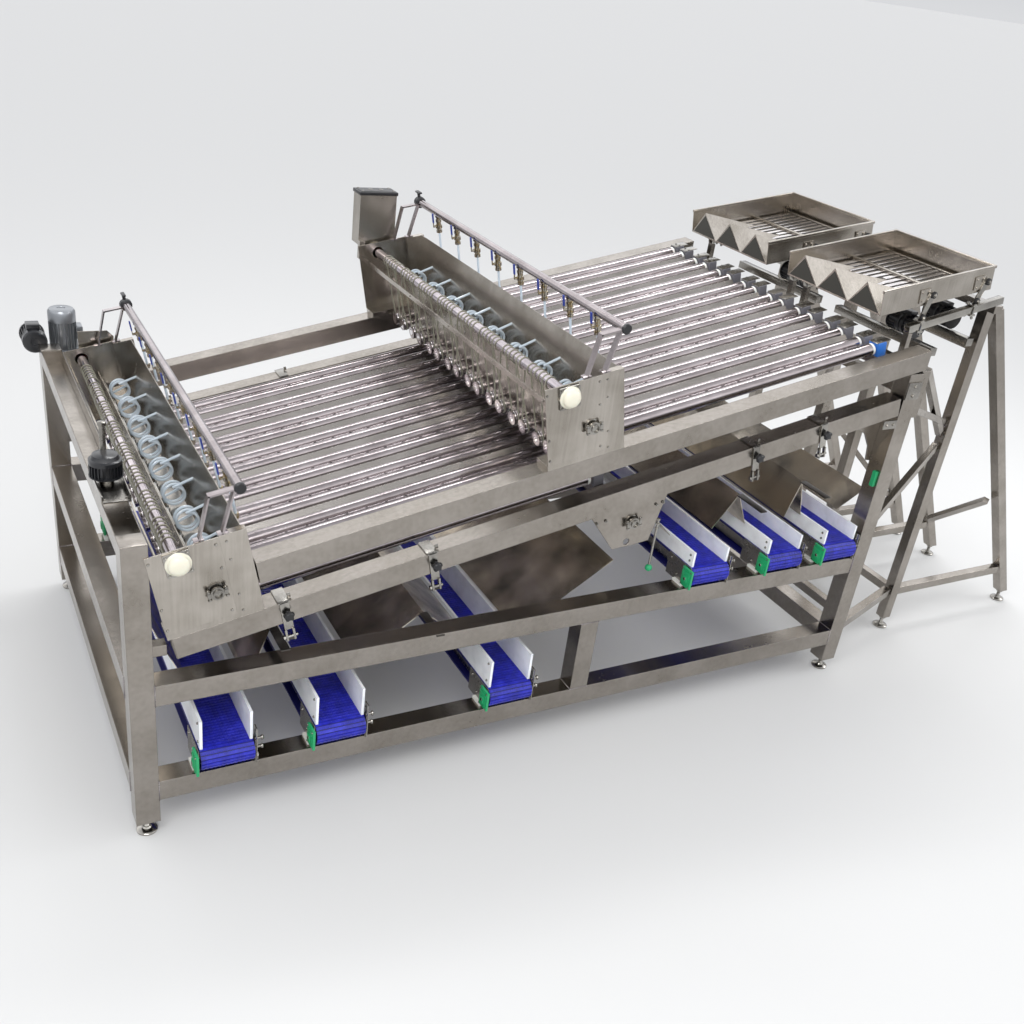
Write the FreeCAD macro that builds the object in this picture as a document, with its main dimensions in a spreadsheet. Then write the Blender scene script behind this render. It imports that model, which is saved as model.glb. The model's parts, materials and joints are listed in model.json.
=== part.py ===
import FreeCAD, Part
import math
import os

from FreeCAD import Placement, Rotation, Vector

# A two-deck roller grading machine: two inclined decks of counter-rotating rollers, each
# driven from a line shaft on a bridge, fed by two vibrating trays and emptied by six cross
# conveyors. Millimetres, +X towards the feeding end, +Y across to the back, +Z up.
# "floor" places count x from the front-left leg, y from the machine's centre line and z from
# the floor. "upper", "lower" and "tray" places count x along the slope and z square to it.

doc = FreeCAD.newDocument("roller_grader")
dims = doc.addObject("Spreadsheet::Sheet", "dims")

DRIVING_DIMENSIONS = [
    ("origin_x", 2286.5, "from the front-left leg to the middle of the whole machine"),
    ("origin_y", 52.5, "from the centre line to the middle of the whole machine"),
    ("tube", 80, "main frame tube, square"),
    ("wall", 3, "tube wall"),
    ("sheet", 3, "sheet metal"),
    ("half_width", 840, "centre line to leg centre"),
    ("frame_length", 3137, "left legs to right legs"),
    ("foot_height", 60, "floor to the bottom of a leg"),
    ("left_height", 1155, "top of the left legs"),
    ("right_height", 1506, "top of the right legs, under the upper deck rail"),
    ("base_rail", 155, "underside of the low rail"),
    ("conveyor_rail", 553, "underside of the high rail"),
    ("post_x", 1704, "middle post between the rails"),
    ("deck_angle", 11.31, "slope of both decks, degrees"),
    ("upper_level", 969, "top of the upper deck rail over the left legs"),
    ("lower_level", 785, "top of the lower deck rail over the left legs"),
    ("upper_bridge", 1427, "start of the upper drive bridge along the deck"),
    ("lower_bridge", 88, "start of the lower drive bridge along the deck"),
    ("bridge_length", 315, "drive bridge along the deck"),
    ("bridge_height", 315, "drive bridge above its rail"),
    ("bridge_post", 228, "start of the bridge's post"),
    ("shaft_x", 92, "line shaft from the bridge's start"),
    ("shaft_height", 268, "line shaft above the rail"),
    ("shaft_radius", 20, "line shaft"),
    ("pulley_x", 96, "roller pulley from the bridge's start"),
    ("pulley_radius", 27, "roller pulley"),
    ("pulley_width", 34, "roller pulley"),
    ("belt_radius", 3, "round drive belt section"),
    ("groove_radius", 4.5, "belt groove section"),
    ("lane_pitch", 196, "one pair of rollers to the next"),
    ("pair_spacing", 82, "between the two rollers of a pair"),
    ("roller_radius", 25.5, "roller tube"),
    ("roller_wall", 2, "roller tube wall"),
    ("roller_length", 1437, "roller tube"),
    ("roller_start", 80, "pulley centre to roller tube"),
    ("journal_radius", 10, "roller journal"),
    ("running_gap", 0.08, "radial clearance of a running fit"),
    ("block_length", 44, "roller bearing block"),
    ("belt_width", 186, "conveyor belt"),
    ("belt_height", 84, "conveyor belt over its rollers"),
    ("belt_thickness", 8, "conveyor belt"),
    ("conveyor_length", 1810, "conveyor over its belts"),
    ("tray_x", 3050, "discharge edge of the feeding trays"),
    ("tray_level", 1688, "tray floor at its discharge edge"),
    ("tray_angle", 9.1, "slope of the trays, degrees"),
    ("tray_length", 640, "feeding tray"),
    ("tray_width", 596, "feeding tray"),
    ("tray_depth", 108, "feeding tray"),
    ("tray_offset", 374, "centre line to the middle of a tray"),
    ("stand_x", 3727, "upright legs of the feeding stands"),
    ("stand_foot_x", 4637, "sloping legs of the feeding stands, at the floor"),
    ("stand_tube", 50, "feeding stand tube, square"),
    ("stand_height", 1690, "feeding stand legs"),
    ("stand_outer", 656, "centre line to a stand's outer legs"),
    ("stand_inner", 132, "centre line to a stand's inner legs"),
]
for row, (alias, value, meaning) in enumerate(DRIVING_DIMENSIONS, start=1):
    dims.set(f"A{row}", str(value))
    dims.setAlias(f"A{row}", alias)
    dims.set(f"B{row}", meaning)
doc.recompute()


def size(alias):
    """A driving dimension read from the sheet."""
    return float(dims.get(alias))


# Each frame of reference: its slope, and where its own zero lies on the floor frame.
FRAMES = {
    "floor": (None, "0", "0"),
    "upper": ("deck_angle", "0", "dims.upper_level"),
    "lower": ("deck_angle", "0", "dims.lower_level"),
    "tray": ("tray_angle", "dims.tray_x", "dims.tray_level"),
}
ALONG_X = Rotation(Vector(0, 1, 0), 90)
ALONG_Y = Rotation(Vector(1, 0, 0), -90)
UPRIGHT = Rotation()
AXES = {"x": ALONG_X, "y": ALONG_Y, "z": UPRIGHT}
nodes = []


def put(thing, frame, x, y, z, turn=UPRIGHT):
    """Place an object in a frame of reference, its position bound to the sheet."""
    slope, zero_x, zero_z = FRAMES[frame]
    if slope is None:
        thing.Placement = Placement(Vector(), turn)
        across, up = f"{x}", f"{z}"
    else:
        tilt = Rotation(Vector(0, -1, 0), size(slope))
        thing.Placement = Placement(Vector(), tilt.multiply(turn))
        cosine, sine = f"cos(dims.{slope})", f"sin(dims.{slope})"
        across = f"{zero_x} + ({x}) * {cosine} - ({z}) * {sine}"
        up = f"{zero_z} + ({x}) * {sine} + ({z}) * {cosine}"
    thing.setExpression("Placement.Base.x", f"{across} - dims.origin_x")
    thing.setExpression("Placement.Base.y", f"{y} - dims.origin_y")
    thing.setExpression("Placement.Base.z", up)
    return thing


def box(frame, corner, length, width, height, turn=UPRIGHT):
    thing = doc.addObject("Part::Box", "block")
    thing.setExpression("Length", f"{length}")
    thing.setExpression("Width", f"{width}")
    thing.setExpression("Height", f"{height}")
    return put(thing, frame, *corner, turn)


def cylinder(frame, start, axis, radius, length):
    thing = doc.addObject("Part::Cylinder", "round")
    thing.setExpression("Radius", f"{radius}")
    thing.setExpression("Height", f"{length}")
    return put(thing, frame, *start, AXES[axis])


def ring(frame, centre, axis, radius, section):
    thing = doc.addObject("Part::Torus", "ring")
    thing.setExpression("Radius1", f"{radius}")
    thing.setExpression("Radius2", f"{section}")
    return put(thing, frame, *centre, AXES[axis])


def joined(things):
    """One solid of several that meet."""
    thing = doc.addObject("Part::MultiFuse", "joined")
    thing.Shapes = things
    return thing


def cut(base, tools):
    """A piece with one or more others taken out of it."""
    thing = doc.addObject("Part::Cut", "cut")
    thing.Base = base
    thing.Tool = tools[0] if len(tools) == 1 else joined(tools)
    return thing


def copy(master, frame, x, y, z, turn=UPRIGHT):
    """A second piece from one pattern."""
    thing = doc.addObject("Part::Compound", "copy")
    thing.Links = [master]
    return put(thing, frame, x, y, z, turn)


def node(label, pieces):
    """Name a sub-part, which is written to its own file."""
    thing = doc.addObject("Part::Compound", label)
    thing.Label = label
    thing.Links = pieces
    nodes.append(thing)


def tube(frame, corner, axis, length, side="dims.tube"):
    """An open square tube from its lowest corner along x, y or z."""
    x, y, z = corner
    bore = f"({side} - 2 * dims.wall)"
    spans = {"x": (length, side, side), "y": (side, length, side), "z": (side, side, length)}
    bores = {"x": (length, bore, bore), "y": (bore, length, bore), "z": (bore, bore, length)}
    shift = {a: "0" if a == axis else "dims.wall" for a in "xyz"}
    inner = (f"{x} + {shift['x']}", f"{y} + {shift['y']}", f"{z} + {shift['z']}")
    return cut(box(frame, corner, *spans[axis]), [box(frame, inner, *bores[axis])])


def bar(start, end, side):
    """A straight square bar between two points of the floor frame."""
    run = Vector(*end) - Vector(*start)
    turn = Rotation(Vector(1, 0, 0), run)
    corner = turn.multVec(Vector(0, -side / 2, -side / 2)) + Vector(*start)
    return box("floor", tuple(corner), run.Length, side, side, turn)


def outline(frame, points, y, depth):
    """A plate cut to an outline in the x-z plane, from y back over its depth."""
    corners = [Vector(px, 0, pz) for px, pz in points]
    face = Part.Face(Part.makePolygon(corners + corners[:1]))
    thing = doc.addObject("Part::Feature", "plate")
    thing.Shape = face.extrude(Vector(0, depth, 0))
    return put(thing, frame, "0", f"{y}", "0")


def folded(frame, path, thickness, y, depth):
    """The flat panels of a folded sheet along a line of bends, mitred where they meet."""
    offset = []
    for i, (px, pz) in enumerate(path):
        before = path[max(i - 1, 0)]
        after = path[min(i + 1, len(path) - 1)]
        sides = []
        for (ax, az), (bx, bz) in ((before, (px, pz)), ((px, pz), after)):
            run = math.hypot(bx - ax, bz - az)
            if run:
                sides.append(Vector((bz - az) / run, 0, -(bx - ax) / run))
        mitre = sides[0] + sides[-1]
        reach = thickness * 2 / mitre.Length ** 2 if len(sides) == 2 else thickness / mitre.Length
        offset.append((px + mitre.x * reach, pz + mitre.z * reach))
    return [outline(frame, [path[i], path[i + 1], offset[i + 1], offset[i]], y, depth)
            for i in range(len(path) - 1)]


SPAN = "2 * dims.half_width - dims.tube"
INNER = "(dims.half_width - dims.tube / 2)"
LANES = [size("lane_pitch") * (lane - 3.5) for lane in range(8)]
ROLLERS = [lane + side * size("pair_spacing") / 2 for lane in LANES for side in (-1, 1)]


def side_y(side, width="dims.tube"):
    """The lower y of a piece centred over the front (-1) or back (1) legs."""
    return f"{side} * dims.half_width - {width} / 2"


# The two side frames: legs, a low rail, a high rail and the post between them.
def side_frame(side):
    y = side_y(side)
    half = "dims.tube / 2"
    rail = "dims.frame_length - dims.tube"
    left_leg = tube("floor", (f"0 - {half}", y, "dims.foot_height"), "z",
                    "dims.left_height - dims.foot_height")
    right_leg = tube("floor", (f"dims.frame_length - {half}", y, "dims.foot_height"), "z",
                     "dims.right_height - dims.foot_height")
    low_rail = tube("floor", (half, y, "dims.base_rail"), "x", rail)
    high_rail = tube("floor", (half, y, "dims.conveyor_rail"), "x", rail)
    post = tube("floor", (f"dims.post_x - {half}", y, "dims.base_rail + dims.tube"), "z",
                "dims.conveyor_rail - dims.base_rail - dims.tube")
    return [left_leg, right_leg, low_rail, high_rail, post]


node("side_frames", side_frame(-1) + side_frame(1))


# Tubes across the machine, the open channel over the left legs and the deck cross beams.
def cross_tube(x, z, side="dims.tube"):
    return tube("floor", (f"{x} - {side} / 2", f"0 - {INNER}", z), "y", SPAN, side)


def deck_beam(frame, x, z, side):
    return tube(frame, (x, f"0 - {INNER}", z), "y", SPAN, side)


CHANNEL_DEPTH = 60
channel_half = size("tube") / 2
channel = folded(
    "floor",
    [(channel_half, size("left_height")), (channel_half, size("left_height") - CHANNEL_DEPTH),
     (-channel_half, size("left_height") - CHANNEL_DEPTH), (-channel_half, size("left_height"))],
    size("sheet"), f"0 - {INNER}", size("half_width") * 2 - size("tube"))
stubs = [box("floor", ("dims.tube / 2", side_y(side, "40"), "735"), "47", "40", "40")
         for side in (-1, 1)]
node("cross_members", [
    cross_tube("0", "dims.base_rail"), cross_tube("0", "dims.conveyor_rail"),
    cross_tube("dims.frame_length", "dims.base_rail"),
    cross_tube("dims.frame_length", "300", "40"),
    cross_tube("dims.frame_length", "dims.conveyor_rail"),
    cross_tube("dims.frame_length", "1400", "40"), *channel, *stubs,
    deck_beam("lower", "dims.lower_bridge + 200", "-78", "40"),
    deck_beam("lower", "dims.lower_bridge + 1640", "-72", "40"),
    deck_beam("upper", "dims.upper_bridge + 200", "-78", "40"),
    deck_beam("upper", "dims.upper_bridge + 1640", "-72", "40"),
])


# The inclined rails that carry the two decks, and the plates that hang from the lower pair.
def deck_rail(frame, side, start, end):
    return tube(frame, (start, side_y(side), "0 - dims.tube"), "x", f"{end} - ({start})")


HANGER = [(1640, -80), (1725, -246), (1810, -258), (1890, -262), (1975, -80)]


# The upper rails end plumb, just short of the posts of the feeding stands.
RAIL_END_X = 3175


def upper_rail(side):
    waste = box("floor", (RAIL_END_X, side_y(side, "100"), 1480), 60, 100, 180)
    return cut(deck_rail("upper", side, "372", "3243"), [waste])


def hanger(side):
    y = -880 if side < 0 else 874
    plate = outline("lower", HANGER, y, 6)
    return cut(plate, [cylinder("lower", ("1790", f"{y} - 1", "-234"), "y", "14", "8")])


GUSSET = [(2930, 1284), (3097, 1317), (3097, 1080), (3074, 1084), (3062, 1150), (3020, 1212),
          (2955, 1246)]


def corner_gusset(side):
    """A curved plate between the lower deck rail and the right leg."""
    return outline("floor", GUSSET, -800 if side < 0 else 794, 6)


node("deck_rails", [
    piece for side in (-1, 1) for piece in (
        upper_rail(side), deck_rail("lower", side, "102", "3140"),
        hanger(side), corner_gusset(side))
])


# Roof-shaped sheets that close the gap between one pair of rollers and the next.
DIVIDER = [(-27, -6), (0, 22), (27, -6)]


def divider(frame, start, y):
    corners = [Vector(0, dy, dz) for dy, dz in DIVIDER]
    corners += [Vector(0, dy, dz - 2.8) for dy, dz in DIVIDER[::-1]]
    face = Part.Face(Part.makePolygon(corners + corners[:1]))
    thing = doc.addObject("Part::Feature", "divider")
    thing.Shape = face.extrude(Vector(size("roller_length") - 20, 0, 0))
    return put(thing, frame, f"{start} + dims.pulley_x + dims.roller_start + 10", y, "0")


DECKS = [("upper", "dims.upper_bridge"), ("lower", "dims.lower_bridge")]
node("lane_dividers", [
    divider(frame, start, size("lane_pitch") * (gap - 3))
    for frame, start in DECKS for gap in range(7)
])

# Drilled water pipes, one along each lane beside its back roller.
PIPE_RADIUS = 5
node("spray_pipes", [
    cylinder(frame, (f"{start} + 150", lane + 9, "2"), "x", PIPE_RADIUS, "1470")
    for frame, start in DECKS for lane in LANES
])


# The feeding stands: upright and sloping legs, rails and braces, one stand under each tray.
def stand(side):
    outer, inner = side * size("stand_outer"), side * size("stand_inner")
    leg_side, rail_side, brace_side = size("stand_tube"), 40, 30
    leg_x, foot_x = size("stand_x"), size("stand_foot_x")
    low, top = size("foot_height"), size("stand_height")
    lean_x = leg_x + leg_side + 8
    pieces = []
    for y in (outer, inner):
        pieces.append(tube("floor", (leg_x - leg_side / 2, y - leg_side / 2, low), "z",
                           top - low, "dims.stand_tube"))
        lean = bar((foot_x + 20, y, low - 38), (lean_x, y, top), leg_side)
        below = box("floor", (foot_x - 60, y - leg_side, low - 90), 160, 2 * leg_side, 90)
        pieces.append(cut(lean, [below]))
        pieces.append(bar((leg_x + leg_side / 2, y, 215), (foot_x - 118, y, 215), rail_side))
    post_x = size("frame_length") + size("tube") / 2
    post_y = side * size("half_width") - leg_side / 2
    pieces.append(tube("floor", (post_x, post_y, 1300), "z", 180, "dims.stand_tube"))
    near, far = sorted((outer, inner))
    span = far - near - leg_side
    pieces.append(box("floor", (leg_x - 20, near + leg_side / 2, 195), 40, span, 40))
    pieces.append(box("floor", (leg_x - 20, near + leg_side / 2, 1500), 40, span, 40))
    pieces.append(bar((4262, outer - side * 27, 650), (4500, inner + side * 27, 260), brace_side))
    leg_face = size("frame_length") + size("tube") / 2
    rail_y = side * (size("half_width") - 10)
    pieces.append(bar((leg_face + 12, rail_y, 215), (leg_x - 38, outer, 215), rail_side))
    pieces.append(bar((leg_face + 66, rail_y, 1500), (leg_x - 36, outer, 1090), brace_side))
    pieces.append(bar((leg_face + 12, rail_y, 768), (leg_x - 36, outer, 1030), brace_side))
    pieces.append(bar((leg_face + 66, rail_y, 1320), (leg_x - 36, outer, 1150), brace_side))
    return pieces


# A low beam behind the deck rails carries short uprights, one under each base bar's end.
tray_beams = [box("floor", (3177, -865, 1480), 50, 1730, 30)]
tray_beams += [box("floor", (3204, y - 15, 1510), 23, 30, 110) for y in (-698, -50, 50, 698)]
tray_beams += [box("floor", (3702, y, "dims.stand_height"), 50, 680, 34) for y in (-714, 34)]
node("infeed_stands", stand(-1) + stand(1) + tray_beams)

# Levelling feet: a threaded stem and a disc under every leg.
foot_disc = cylinder("floor", ("dims.origin_x", "dims.origin_y", "0"), "z", "36", "12")
foot_stem = cylinder("floor", ("dims.origin_x", "dims.origin_y", "12"), "z", "9",
                     "dims.foot_height - 12")
foot = joined([foot_disc, foot_stem])
foot_places = [(x, side * size("half_width")) for x in (0, size("frame_length"))
               for side in (-1, 1)]
foot_places += [(x, side * y) for x in (size("stand_x"), size("stand_foot_x"))
                for side in (-1, 1) for y in (size("stand_outer"), size("stand_inner"))]
node("levelling_feet", [copy(foot, "floor", x, y, "0") for x, y in foot_places])


# A drive bridge: end plates and posts on the rails, a wall that carries the roller journals,
# a water trough behind it and a guide strip in front of the belts.
def bridge(frame, start):
    s = size(start)
    post, height, length = size("bridge_post"), size("bridge_height"), size("bridge_length")
    pieces = []
    for side in (-1, 1):
        y = -884 if side < 0 else 880
        plate = outline(frame, [(s, 20), (s + post, 20), (s + post, height), (s, height)], y, 4)
        shaft_hole = cylinder(frame, (s + size("shaft_x"), f"{y} - 1", "dims.shaft_height"),
                              "y", "dims.shaft_radius + 6", "6")
        pieces.append(cut(plate, [shaft_hole]))
        sill_y = -880 if side < 0 else 800
        pieces.append(box(frame, (s, sill_y, 0), post, 80, 20))
        post_y = -880 if side < 0 else 852
        pieces.append(box(frame, (s + post, post_y, 0), length - post, 28, height))
    wall_x = s + 135
    wall = box(frame, (wall_x, -798, -30), size("sheet"), 1596, 262)
    holes = [cylinder(frame, (wall_x - 1, y, 0), "x", 14, 5) for y in ROLLERS]
    pieces.append(cut(wall, holes))
    trough = [(wall_x + 3, 122), (s + post, 122), (s + length - 9, height)]
    pieces += folded(frame, trough[::-1], size("sheet"), -852, 1704)
    pieces.append(box(frame, (s + 40, -876, 214), 6, 1752, 22))
    return pieces


GUARD = [(118, 1104), (262, 1112), (262, 1170), (236, 1196), (118, 1196)]
node("bridge_housings", bridge("upper", "upper_bridge") + bridge("lower", "lower_bridge")
     + [outline("floor", GUARD, 906, 3)])


# Bearings: a block at each roller's feeding end, a bush on the bridge wall at its other end,
# and a square flange bearing with a domed cap at each end of each line shaft.
def roller_block(frame, start, y):
    block_x = f"{start} + dims.pulley_x + dims.roller_start + dims.roller_length + 22"
    body = box(frame, (block_x, y - 28, "-32"), "dims.block_length", 56, 60)
    bore = cylinder(frame, (f"{block_x} - 1", y, 0), "x",
                    "dims.journal_radius + dims.running_gap", "dims.block_length + 2")
    return cut(body, [bore])


def wall_bush(frame, start, y):
    bush_x = f"{start} + 138"
    body = box(frame, (bush_x, y - 24, -24), 18, 48, 48)
    bore = cylinder(frame, (f"{bush_x} - 1", y, 0), "x",
                    "dims.journal_radius + dims.running_gap", 20)
    return cut(body, [bore])


def shaft_bearing(frame, start, side):
    flange_y = -906 if side < 0 else 884
    centre = (f"{start} + dims.shaft_x", "dims.shaft_height")
    flange = box(frame, (f"{centre[0]} - 43", flange_y, f"{centre[1]} - 43"), 86, 22, 86)
    hole_end = flange_y - 1 if side > 0 else flange_y + 4
    bore = cylinder(frame, (centre[0], hole_end, centre[1]), "y",
                    "dims.shaft_radius - 2 + dims.running_gap", 24)
    cap = cylinder(frame, (centre[0], flange_y - 14, centre[1]), "y", 30, 14)
    return cut(joined([flange, cap]) if side < 0 else flange, [bore])


node("bearing_blocks", [
    piece for frame, start in DECKS for piece in
    [roller_block(frame, start, y) for y in ROLLERS]
    + [wall_bush(frame, start, y) for y in ROLLERS]
    + [shaft_bearing(frame, start, side) for side in (-1, 1)]
])


# Line shafts: a bright shaft with a belt groove over every roller and stepped-down ends.
def line_shaft(frame, start):
    shaft = f"{start} + dims.shaft_x"
    body = cylinder(frame, (shaft, -872, "dims.shaft_height"), "y", "dims.shaft_radius", 1744)
    grooves = [ring(frame, (shaft, y, "dims.shaft_height"), "y", "dims.shaft_radius",
                    "dims.groove_radius") for y in ROLLERS]
    ends = [cylinder(frame, (shaft, y, "dims.shaft_height"), "y", "dims.shaft_radius - 2", run)
            for y, run in ((-900, 28), (872, 48))]
    return joined([cut(body, grooves), *ends])


for frame, start in DECKS:
    node(f"{frame}_line_shaft", [line_shaft(frame, start)])

# Rollers: a tube with end plugs, journals, a white collar and a grooved pulley.
roller_start, roller_length = "dims.roller_start", "dims.roller_length"


def on_axis(start, radius, length):
    """A round piece of the roller pattern, which lies along x through the pattern's zero."""
    return cylinder("floor", (f"dims.origin_x + {start}", "dims.origin_y", "0"), "x",
                    radius, length)


roller_tube = cut(on_axis(roller_start, "dims.roller_radius", roller_length),
                  [on_axis(roller_start, "dims.roller_radius - dims.roller_wall",
                           roller_length)])
plugs = [on_axis(start, "dims.roller_radius - dims.roller_wall", 30)
         for start in (roller_start, f"{roller_start} + {roller_length} - 30")]
pulley = cut(on_axis("0 - dims.pulley_width / 2", "dims.pulley_radius", "dims.pulley_width"),
             [ring("floor", ("dims.origin_x", "dims.origin_y", "0"), "x",
                   "dims.pulley_radius", "dims.groove_radius")])
drive_journal = on_axis("dims.pulley_width / 2", "dims.journal_radius",
                        "dims.roller_start - dims.pulley_width / 2")
end_journal = on_axis(f"{roller_start} + {roller_length}", "dims.journal_radius", 66)
collar = on_axis(f"{roller_start} + {roller_length}", "dims.roller_radius - 3", 14)
roller = joined([roller_tube, *plugs, pulley, drive_journal, end_journal, collar])

for frame, start in DECKS:
    for number, y in enumerate(ROLLERS, start=1):
        node(f"{frame}_roller_{number:02d}", [copy(roller, frame, f"{start} + dims.pulley_x", y, 0)])


# Round drive belts: each runs over the line shaft and, a quarter turn round, under a pulley.
def half_ring(x, z, turn, radius):
    thing = doc.addObject("Part::Torus", "half_ring")
    thing.setExpression("Radius1", radius)
    thing.setExpression("Radius2", "dims.belt_radius")
    thing.Angle3 = 180
    return put(thing, "floor", f"dims.origin_x + {x}", "dims.origin_y", z, turn)


def rod(start, end, radius):
    """A straight round bar between two points about the roller pattern's zero."""
    run = Vector(*end) - Vector(*start)
    thing = doc.addObject("Part::Cylinder", "rod")
    thing.Radius = radius
    thing.Height = run.Length
    x, y, z = start
    return put(thing, "floor", f"dims.origin_x + {x}", f"dims.origin_y + {y}", z,
               Rotation(Vector(0, 0, 1), run))


def drive_belt(hand):
    """One belt around the roller pattern's zero, its runs crossing over to one hand."""
    offset, rise = size("shaft_x") - size("pulley_x"), size("shaft_height")
    shaft_r, pulley_r = size("shaft_radius"), size("pulley_radius")
    over = half_ring(offset, rise, Rotation(Vector(1, 0, 0), 90), "dims.shaft_radius")
    under_turn = Rotation(Vector(0, 1, 0), Vector(0, 0, -1), Vector(-1, 0, 0), "XYZ")
    under = half_ring(0, 0, under_turn, "dims.pulley_radius")
    runs = [rod((offset + side * shaft_r, 0, rise), (0, side * hand * pulley_r, 0),
                size("belt_radius")) for side in (-1, 1)]
    return joined([over, under, *runs])


belt_patterns = {hand: drive_belt(hand) for hand in (-1, 1)}
node("roller_drive_belts", [
    copy(belt_patterns[-1 if number % 2 else 1], frame, f"{start} + dims.pulley_x", y, 0)
    for frame, start in DECKS for number, y in enumerate(ROLLERS)
])


# Water manifolds: a pipe on two bent brackets, with a brass valve, lever and drop tube a lane.
def manifold(frame, start):
    s = size(start)
    pipe_x, pipe_z, pipe_r = s + 325, 455, 16
    legs = [(s + 171, 318), (s + 229, 455), (s + 309, 455), (s + 243, 318)]
    pieces = [panel for y in (-880, 855) for panel in folded(frame, legs, 6, y, 25)]
    pieces.append(cylinder(frame, (pipe_x, -872, pipe_z), "y", pipe_r, 1744))
    pieces.append(cylinder(frame, (pipe_x, 872, pipe_z), "y", 26, 38))
    for lane in LANES:
        pieces.append(cylinder(frame, (pipe_x, lane, 365), "z", 11, 74))
        pieces.append(box(frame, (pipe_x + 11, lane - 5, 392), 10, 10, 62))
        pieces.append(cylinder(frame, (pipe_x, lane, 245), "z", 8, 120))
    return pieces


node("water_manifolds", [piece for frame, start in (("upper", "upper_bridge"),
                                                    ("lower", "lower_bridge"))
                         for piece in manifold(frame, start)])

# Clear hoses that loop once in the trough, one a lane.
node("spray_hoses", [
    ring(frame, (f"{start} + 192", lane, 178), "y", 36, 6)
    for frame, start in DECKS for lane in LANES
])


# Drives at the back end of the line shafts and on the channel over the left legs.
def upright_drum(x, y, z, radius, height):
    return cylinder("floor", (x, y, z), "z", radius, height)


lower_gearbox = box("floor", (20, 922, 1000), 130, 96, 96)
lower_motor = upright_drum(69, 968, 1096, 57, 184)
end_motor = cylinder("floor", (-50, 880, 1165), "y", 50, 118)
winder_bracket = box("floor", (-42, -592, 1155), 92, 200, 28)
winder_motor = upright_drum(0, -440, 1183, 54, 62)
winder_tube = upright_drum(0, -412, 1245, 10, 112)
upper_gearbox = box("floor", (1382, 922, 1478), 120, 60, 80)
node("drive_motors", [lower_gearbox, lower_motor, end_motor, winder_bracket, winder_motor,
                      winder_tube, upper_gearbox])

# The stainless box over the upper drive, with its lid.
drive_box_body = box("floor", (1348, 908, 1558), 175, 84, 221)
drive_box_lid = box("floor", (1344, 904, 1779), 183, 92, 14)
drive_box_leg = box("floor", (1346, 884, 1500), 26, 24, 80)
node("upper_drive_box", [drive_box_body, drive_box_lid, drive_box_leg])


# Inverted-V sheets that steer what falls between the rollers onto the belts.
CHUTES = [
    [(66, 760), (196, 455)],
    [(382, 455), (468, 690), (570, 455)],
    [(788, 455), (1046, 630), (1262, 455)],
    [(1468, 455), (1879, 724)],
    [(1890, 1050), (2146, 800)],
    [(2362, 800), (2472, 950), (2545, 800)],
    [(2762, 800), (2818, 972), (2862, 800)],
    [(3078, 800), (3222, 888)],
]
node("discharge_chutes", [panel for path in CHUTES
                          for panel in folded("floor", path, size("sheet"), -720, 1440)])


# Saddle clamps that hang the chutes from the lower rails, with star knobs and hinge blocks.
def clamp(side, x):
    saddle = box("lower", (x - 16, -886 if side < 0 else 794, 0), 32, 92, 6)
    knob_y = -912 if side < 0 else 886
    knob = cylinder("lower", (x + 4, knob_y, -42), "y", 19, 26)
    plate_y = -886 if side < 0 else 881
    plate = box("lower", (x - 16, plate_y, -106), 32, 5, 106)
    return [saddle, plate, knob, box("lower", (x - 18, plate_y - 4, -150), 34, 14, 44)]


hook_rod = cylinder("floor", (1985, -820, 742), "z", 5, 206)
hook_ball = cylinder("floor", (1985, -820, 712), "z", 15, 30)
node("chute_clamps", [piece for side in (-1, 1) for x in (467, 1000, 2390, 2730)
                      for piece in clamp(side, x)] + [hook_rod, hook_ball])

# Six cross conveyors: three on the low rails and three on the high rails.
LOW_BELTS, HIGH_BELTS = (176, 584, 1278), (2158, 2558, 2876)
CONVEYORS = ([(x, size("base_rail") + size("tube")) for x in LOW_BELTS]
             + [(x, size("conveyor_rail") + size("tube")) for x in HIGH_BELTS])
RAIL_CLEARANCE = 12
belt_width, belt_height = size("belt_width"), size("belt_height")
half_run = size("conveyor_length") / 2 - belt_height / 2


def belt_block(x, z, inset):
    """A belt-shaped solid: a slab with half-round ends, drawn in by an inset."""
    radius = belt_height / 2 - inset
    middle = z + RAIL_CLEARANCE + belt_height / 2
    slab = box("floor", (x, -half_run, middle - radius), belt_width, 2 * half_run, 2 * radius)
    ends = [cylinder("floor", (x, side * half_run, middle), "x", radius, belt_width)
            for side in (-1, 1)]
    return joined([slab, *ends])


def belt(x, z):
    return cut(belt_block(x, z, 0), [belt_block(x, z, size("belt_thickness"))])


node("conveyor_belts", [belt(x, z) for x, z in CONVEYORS])


def conveyor_frame(x, z):
    """Beams inside the belt, and at each end two plates that hold the roller's axle."""
    middle = z + RAIL_CLEARANCE + belt_height / 2
    pieces = []
    for beam_x in (x + 24, x + belt_width - 30):
        pieces.append(box("floor", (beam_x, -half_run + 44, middle - 26), 6,
                          2 * half_run - 88, 52))
    for plate_x in (x - 6, x + belt_width + 3):
        for side in (-1, 1):
            start = min(side * (half_run + 26), side * (half_run - 130))
            plate = box("floor", (plate_x, start, z), size("sheet"), 156, belt_height + 14)
            hole = cylinder("floor", (plate_x - 1, side * half_run, middle), "x",
                            "dims.journal_radius + dims.running_gap", 5)
            pieces.append(cut(plate, [hole]))
    for side in (-1, 1):
        cross_y = side * (half_run - 110)
        pieces.append(cylinder("floor", (x - 3, cross_y, middle), "x", 8, belt_width + 6))
        end_y = side * (half_run + 8)
        pieces.append(box("floor", (x - 17, end_y - 40, z + 12), 8, 62, 82))
    return pieces


leg_clip = box("floor", (3083, -868, 985), 14, 20, 70)
node("conveyor_frames", [piece for x, z in CONVEYORS for piece in conveyor_frame(x, z)]
     + [leg_clip])


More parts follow.
